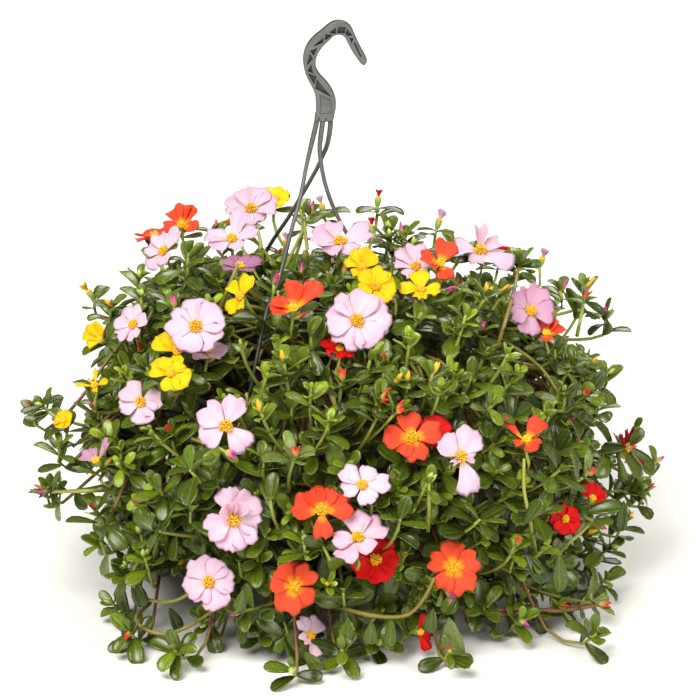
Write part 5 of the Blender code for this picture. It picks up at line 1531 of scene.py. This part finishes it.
def bud_places(own, side, owners, side_owners, leafy, blooms, draw):
    """Closed buds and spent flowers at the tips of the leafy shoots, none of them over a bloom unless the
    photo shows it: where each starts, its axis, length, thickness, colours at both ends, fullness and
    bunch."""
    rows = []
    for (tip, face, kind), owner in zip(own, owners):
        for _ in range(draw.integers(0, 3)):
            if kind == "bloom":
                lean = unit(np.cross(face, draw.uniform(-1, 1, 3)) + 0.35 * face)
                rows.append((tip - 0.003 * face, lean, "", owner))
            else:
                rows.append((tip - 0.001 * face, unit(face + draw.uniform(-0.5, 0.5, 3)), "", owner))
    for place, ((tip, face, kind), owner) in enumerate(zip(side, side_owners)):
        end = PICTURED_SHOOTS[place][-1] if place < len(PICTURED_SHOOTS) else ""
        if end:
            for spread in (0.15, 0.6, 0.6)[: 3 if end == "green" else 2]:
                rows.append((tip - 0.001 * face, unit(face + draw.uniform(-spread, spread, 3)), end, owner))
        elif place % 5 == 0 and kind != "large" and leafy[place]:
            rows.append((tip - 0.001 * face, unit(face + draw.uniform(-0.35, 0.35, 3)), "", owner))
    base = np.array([row[0] for row in rows])
    axis = np.array([row[1] for row in rows])
    count = len(rows)
    guess = draw.choice(["green", "green", "green", "magenta", "red", "yellow"], count)
    kinds = [row[2] or str(guess[k]) for k, row in enumerate(rows)]
    green = np.array([kind == "green" for kind in kinds])
    second = np.array([BUD_ENDS[kind] for kind in kinds]) * draw.uniform(0.8, 1.15, (count, 1))
    first = np.where(green[:, None], 0.6 * BUD_ENDS["green"], PEACH) * draw.uniform(0.7, 1.1, (count, 1))
    length = np.where(green, draw.uniform(0.006, 0.0095, count), draw.uniform(0.009, 0.0135, count))
    thick = np.where(green, draw.uniform(0.0018, 0.0027, count), draw.uniform(0.0018, 0.0026, count))
    base[:, 2] = np.maximum(base[:, 2], 0.004)
    axis[:, 2] = np.maximum(axis[:, 2], (0.003 - base[:, 2]) / length)
    axis = unit(axis)
    end = base + axis * length[:, None]
    kept = np.all((end > CAD_BOX[0] + 0.003) & (end < CAD_BOX[1] - 0.003), axis=1)
    kept &= ~covers(end, blooms) | np.array([bool(row[2]) for row in rows])
    buds = {
        "base": base, "axis": axis, "length": length, "thick": thick,
        "tints": np.stack([first, second], axis=1), "pinch": draw.uniform(0.58, 0.78, count),
        "owner": np.array([row[3] for row in rows]),
    }
    return {key: value[kept] for key, value in buds.items()}


def make_blooms(blooms):
    """Each bloom in its own piece; those past the nodes' number belong to a bunch and replace nothing."""
    petals = {colour: petal_finish(colour) for colour in PETAL_LOOKS}
    stamens = stamen_finish()
    green = bud_finish()
    for bloom in blooms:
        colour, number = bloom[0], bloom[-1]
        name = f"bloom_{colour}_{number + 1:02d}"
        node = (name,) if number < BLOOM_NODES else ()
        bloom_object(bloom, [petals[colour], stamens, green], f"petals_{colour}_{number + 1:02d}",
                     node)


# Hanger


def flat_plate(name, outlines, low, high, stand, rounding):
    """Flat outlines, each a body or a hole in one, given thickness from low to high, with rounded edges,
    and placed by the matrix stand. Returns a welded mesh of triangles."""
    curve = bpy.data.curves.new(name, "CURVE")
    curve.dimensions = "2D"
    curve.fill_mode = "BOTH"
    curve.extrude = (high - low) / 2 - rounding
    curve.bevel_depth = rounding
    curve.bevel_resolution = 3
    curve.offset = -rounding
    for outline in outlines:
        spline = curve.splines.new("POLY")
        spline.points.add(len(outline) - 1)
        flat = np.column_stack([outline, np.zeros(len(outline)), np.ones(len(outline))])
        spline.points.foreach_set("co", flat.ravel())
        spline.use_cyclic_u = True
    obj = bpy.data.objects.new(name, curve)
    bpy.context.scene.collection.objects.link(obj)
    bpy.context.view_layer.update()
    mesh = bpy.data.meshes.new_from_object(obj.evaluated_get(bpy.context.evaluated_depsgraph_get()))
    bpy.data.objects.remove(obj, do_unlink=True)
    bpy.data.curves.remove(curve)
    mesh.transform(stand @ Matrix.Translation((0.0, 0.0, (low + high) / 2)))
    welded = bmesh.new()
    welded.from_mesh(mesh)
    bmesh.ops.remove_doubles(welded, verts=welded.verts, dist=1e-6)
    bmesh.ops.triangulate(welded, faces=welded.faces)
    bmesh.ops.recalc_face_normals(welded, faces=welded.faces)
    welded.to_mesh(mesh)
    welded.free()
    return mesh


def cut_away(body, cutters):
    """The body's mesh with every cutter taken out of it."""
    pieces = [bpy.data.objects.new("cut", mesh) for mesh in (body, *cutters)]
    for piece in pieces:
        bpy.context.scene.collection.objects.link(piece)
        if piece is not pieces[0]:
            cut = pieces[0].modifiers.new("cut", "BOOLEAN")
            cut.operation = "DIFFERENCE"
            cut.solver = "MANIFOLD"
            cut.object = piece
    bpy.context.view_layer.update()
    mesh = bpy.data.meshes.new_from_object(pieces[0].evaluated_get(bpy.context.evaluated_depsgraph_get()))
    for piece in pieces:
        bpy.data.objects.remove(piece, do_unlink=True)
    return mesh


def mesh_part(mesh):
    """The arrays of a finished mesh, welded by place, as a part."""
    mesh.calc_loop_triangles()
    points = np.empty(len(mesh.vertices) * 3, np.float32)
    mesh.vertices.foreach_get("co", points)
    faces = np.empty(len(mesh.loop_triangles) * 3, np.int32)
    mesh.loop_triangles.foreach_get("vertices", faces)
    _, first, index = np.unique(np.round(points.reshape(-1, 3), 6), axis=0, return_index=True,
                                return_inverse=True)
    points = points.reshape(-1, 3)[first]
    faces = index.ravel()[faces.reshape(-1, 3)]
    faces = faces[(faces[:, 0] != faces[:, 1]) & (faces[:, 1] != faces[:, 2]) & (faces[:, 0] != faces[:, 2])]
    uv = np.zeros((len(points), 2))
    return part_of(points[None].astype(float), NO_QUADS, faces, uv, np.ones(3))


def arm_line(side, count):
    """One arm's points, from inside the block down to its clip on the rim."""
    turn = CLIP_TURNS[side]
    reach = LIP_RADIUS - 0.002
    seat = np.array([reach * math.cos(turn), reach * math.sin(turn), POT_HEIGHT + GAP + CLIP_WALL / 2])
    above = seat * np.array([0.985, 0.985, 1.0]) + np.array([0.0, 0.0, 0.010])
    return smooth_line([*[at_depth(*place) for place in ARMS[side]], above, seat], count)


def upright_outline(places):
    """Picture places on the hook's own plane, as across and up in metres."""
    return np.array([at_depth(across, down, 0.0)[[0, 2]] for across, down in places])


def make_hanger():
    """The hook: a plate with rounded edges, pockets cut into both faces, and grooves that part its foot
    into three fingers; three round arms; and the clips that hold the rim."""
    upright = Matrix.Rotation(math.pi / 2, 4, "X")
    outline = np.vstack([smooth_line(upright_outline(HOOK_OUTER), OUTER_POINTS),
                         smooth_line(upright_outline(HOOK_INNER), INNER_POINTS)])
    outline[:, 1] = np.minimum(outline[:, 1], CAD_BOX[1, 2])
    half = HOOK_THICKNESS / 2
    body = flat_plate("body", [outline], -half, half, upright, HOOK_ROUND)
    cutters = []
    panel, *truss = HOOK_POCKETS
    cuts = (([panel], PANEL_DEPTH, 1.0), (truss, POCKET_DEPTH, POCKET_GROWTH),
            (HOOK_GROOVES, GROOVE_DEPTH, 1.0))
    for places, depth, growth in cuts:
        for pocket in places:
            corners = upright_outline(pocket)
            shape = [corners.mean(axis=0) + growth * (corners - corners.mean(axis=0))]
            cutters.append(flat_plate("cutter", shape, half - depth, half + depth, upright, 0.0))
            cutters.append(flat_plate("cutter", shape, -half - depth, -half + depth, upright, 0.0))
    parts = [mesh_part(cut_away(body, cutters))]
    for side, turn in CLIP_TURNS.items():
        line = arm_line(side, ARM_POINTS)
        thick = [1.25 * ARM_RADIUS, 1.2 * ARM_RADIUS, 0.95 * ARM_RADIUS]
        radii = np.interp(np.arange(ARM_POINTS), [0, 6, 16], thick)
        points = tubes(line[None], radii[None], ARM_SIDES)
        corners = tube_corners(ARM_POINTS, ARM_SIDES)
        parts.append(part_of(points, *corners, tube_uv(ARM_POINTS, ARM_SIDES), np.ones(3)))
        outside = LIP_RADIUS + GAP
        top = POT_HEIGHT + GAP
        under = POT_HEIGHT - LIP_HEIGHT - GAP
        clip = np.array([
            (LIP_RADIUS - CLIP_REACH, top), (outside, top), (outside, under), (outside - CLIP_LIP, under),
            (outside - CLIP_LIP, under - CLIP_WALL), (outside + CLIP_WALL, under - CLIP_WALL),
            (outside + CLIP_WALL, top + CLIP_WALL), (LIP_RADIUS - CLIP_REACH, top + CLIP_WALL),
        ])
        stand = Matrix.Rotation(turn, 4, "Z") @ upright
        half = CLIP_WIDTH / 2
        parts.append(mesh_part(flat_plate("clip", [clip], -half, half, stand, CLIP_ROUND)))
    hanger = make_piece("hanger_moulding", parts, [hanger_finish()], ("hanger",))
    hanger.data.set_sharp_from_angle(angle=SHARP_ANGLE)
    return hanger


# Pot and soil


def turned_part(profile, sides):
    """A closed profile of (radius, height) points carried round the upright axis; the faces point to the
    right of the profile's direction."""
    profile = np.asarray(profile, float)
    turn = 2 * np.pi * np.arange(sides) / sides
    radius = profile[:, 0][:, None]
    height = np.broadcast_to(profile[:, 1][:, None], (len(profile), sides))
    points = np.stack([radius * np.cos(turn), radius * np.sin(turn), height], axis=-1)
    row, side = np.meshgrid(np.arange(len(profile)), np.arange(sides), indexing="ij")
    next_row = (row + 1) % len(profile)
    after = (side + 1) % sides
    quads = np.stack([row * sides + side, row * sides + after,
                      next_row * sides + after, next_row * sides + side], axis=-1).reshape(-1, 4)
    return points.reshape(-1, 3), quads


def make_pot():
    """The pot's wall: a profile turned round the axis, with a rolled lip, two faint moulded rings and a
    small foot; and its floor, a flat plate with round drain holes."""
    def wall(height, inset=0.0):
        return BASE_RADIUS + (RIM_RADIUS - BASE_RADIUS) * height / POT_HEIGHT - inset

    outer = [(BASE_RADIUS - FOOT_ROUND, 0.0), (wall(FOOT_ROUND), FOOT_ROUND)]
    for ring in RING_HEIGHTS:
        for step, raised in ((-1, 0), (-0.5, 1), (0.5, 1), (1, 0)):
            height = ring + step * RING_HALF
            outer.append((wall(height) + raised * RING_RAISED, height))
    lip = POT_HEIGHT - LIP_HEIGHT
    outer += [(wall(lip), lip), (LIP_RADIUS - LIP_ROUND, lip), (LIP_RADIUS, lip + LIP_ROUND),
              (LIP_RADIUS, POT_HEIGHT - FOOT_ROUND), (LIP_RADIUS - FOOT_ROUND, POT_HEIGHT)]
    inner = [(wall(POT_HEIGHT, POT_WALL) + LIP_ROUND, POT_HEIGHT),
             (wall(POT_HEIGHT, POT_WALL), POT_HEIGHT - LIP_ROUND),
             (wall(POT_FLOOR, POT_WALL), POT_FLOOR), (wall(0.0, POT_WALL), 0.0002)]
    points, quads = turned_part(outer + inner, POT_SIDES)
    parts = [part_of(points[None], quads, NO_TRIANGLES, np.zeros((len(points), 2)), np.ones(3))]
    turn = np.linspace(0, 2 * np.pi, 97)[:-1]
    rim = (wall(0.0, POT_WALL) + 0.0002) * np.column_stack([np.cos(turn), np.sin(turn)])
    holes = []
    for k in range(DRAIN_HOLES):
        place = 2 * math.pi * k / DRAIN_HOLES
        around = DRAIN_RADIUS * np.column_stack([np.cos(turn[::4]), np.sin(turn[::4])])
        holes.append(around + DRAIN_CIRCLE * np.array([math.cos(place), math.sin(place)]))
    parts.append(mesh_part(flat_plate("floor", [rim, *holes], 0.0001, POT_FLOOR, Matrix.Identity(4), 0.0001)))
    pot = make_piece("pot_moulding", parts, [pot_finish()], ("pot",))
    pot.data.set_sharp_from_angle(angle=SHARP_ANGLE)
    return pot


def make_soil():
    """Peat: a turned body whose top is raised and lowered by sums of sines and a seeded crumble."""
    full = (SOIL_EDGE - POT_FLOOR) / (POT_HEIGHT - POT_FLOOR)
    inner = BASE_RADIUS - POT_WALL + full * (RIM_RADIUS - BASE_RADIUS)
    foot = BASE_RADIUS - POT_WALL - 2 * GAP
    bottom = 2 * GAP + POT_FLOOR
    rings = np.linspace(SOIL_AXIS, inner - GAP, SOIL_RINGS)
    top = [(radius, SOIL_MIDDLE - (SOIL_MIDDLE - SOIL_EDGE) * (radius / inner) ** 3) for radius in rings]
    profile = [(SOIL_AXIS, bottom), (foot, bottom), (inner - GAP, SOIL_EDGE - 0.004), *top[::-1]]
    points, quads = turned_part(profile, SOIL_SIDES)
    shaped = points.reshape(len(profile), SOIL_SIDES, 3)
    x, y = shaped[4:-1, :, 0], shaped[4:-1, :, 1]
    waves = np.sin(140 * x + 3 * np.sin(90 * y)) + np.sin(170 * y + 2 * np.sin(110 * x))
    waves += np.sin(260 * (x + y))
    crumble = random_draw(20).normal(0, 1, x.shape)
    shaped[4:-1, :, 2] += 0.0007 * waves + 0.0007 * crumble - 0.0012
    uv = np.zeros((len(points), 2))
    part = part_of(shaped.reshape(1, -1, 3), quads, NO_TRIANGLES, uv, np.ones(3))
    return make_piece("peat_filling", [part], [soil_finish()], ("soil",))


# Studio


FLOOR_SIDE = 9.0
FLOOR_WHITE = (0.93, 0.93, 0.93, 1.0)
SKY_COLOUR = (1.0, 0.975, 0.93, 1.0)
SKY_LIGHT = 0.24
LAMPS = {
    # Place, size across and power of each soft lamp
    "key": ((-1.2, -2.0, 2.8), 2.4, 165.0),
    "fill": ((2.3, -1.7, 1.7), 1.6, 55.0),
    "back": ((0.5, 2.3, 2.3), 1.8, 50.0),
}
LAMP_COLOUR = (1.0, 0.965, 0.90)


def make_floor():
    """A pale floor."""
    mesh = bpy.data.meshes.new("floor")
    side = FLOOR_SIDE
    corners = [(-side, -side, 0), (side, -side, 0), (side, side, 0), (-side, side, 0)]
    mesh.from_pydata(corners, [], [(0, 1, 2, 3)])
    floor = bpy.data.objects.new("floor", mesh)
    bpy.context.scene.collection.objects.link(floor)
    finish = Finish("floor_white", 0.85, 0.2)
    finish.shader.inputs["Base Color"].default_value = FLOOR_WHITE
    mesh.materials.append(finish.material)


def make_sky():
    """A soft warm sky for light, which the camera sees as white."""
    world = bpy.data.worlds.new("studio")
    world.use_nodes = True
    tree = world.node_tree
    sky = tree.nodes["Background"]
    sky.inputs["Color"].default_value = SKY_COLOUR
    sky.inputs["Strength"].default_value = SKY_LIGHT
    backdrop = tree.nodes.new("ShaderNodeBackground")
    backdrop.inputs["Color"].default_value = (1.0, 1.0, 1.0, 1.0)
    rays = tree.nodes.new("ShaderNodeLightPath")
    either = tree.nodes.new("ShaderNodeMixShader")
    tree.links.new(rays.outputs["Is Camera Ray"], either.inputs[0])
    tree.links.new(sky.outputs[0], either.inputs[1])
    tree.links.new(backdrop.outputs[0], either.inputs[2])
    tree.links.new(either.outputs[0], tree.nodes["World Output"].inputs["Surface"])
    bpy.context.scene.world = world


def make_lamps():
    """Three large soft lamps that face the basket."""
    for name, (place, size, power) in LAMPS.items():
        data = bpy.data.lights.new(name, "AREA")
        data.shape = "DISK"
        data.size = size
        data.energy = power
        data.color = LAMP_COLOUR
        light = bpy.data.objects.new(name, data)
        light.location = place
        light.rotation_euler = (Vector(VIEW_TARGET) - Vector(place)).to_track_quat("-Z", "Y").to_euler()
        bpy.context.scene.collection.objects.link(light)


def make_camera():
    """A camera at the front view's eye, with plain colours."""
    data = bpy.data.cameras.new("camera")
    data.sensor_width = SENSOR
    data.lens = SENSOR * VIEW_DISTANCE / (PICTURE_SIDE * PIXEL)
    camera = bpy.data.objects.new("camera", data)
    camera.location = EYE
    camera.rotation_euler = Vector(-TO_EYE).to_track_quat("-Z", "Y").to_euler()
    bpy.context.scene.collection.objects.link(camera)
    bpy.context.scene.camera = camera
    bpy.context.scene.view_settings.view_transform = "Standard"


make_camera()
make_floor()
make_sky()
make_lamps()
make_pot()
make_soil()
make_hanger()
make_blooms(grow_plant())
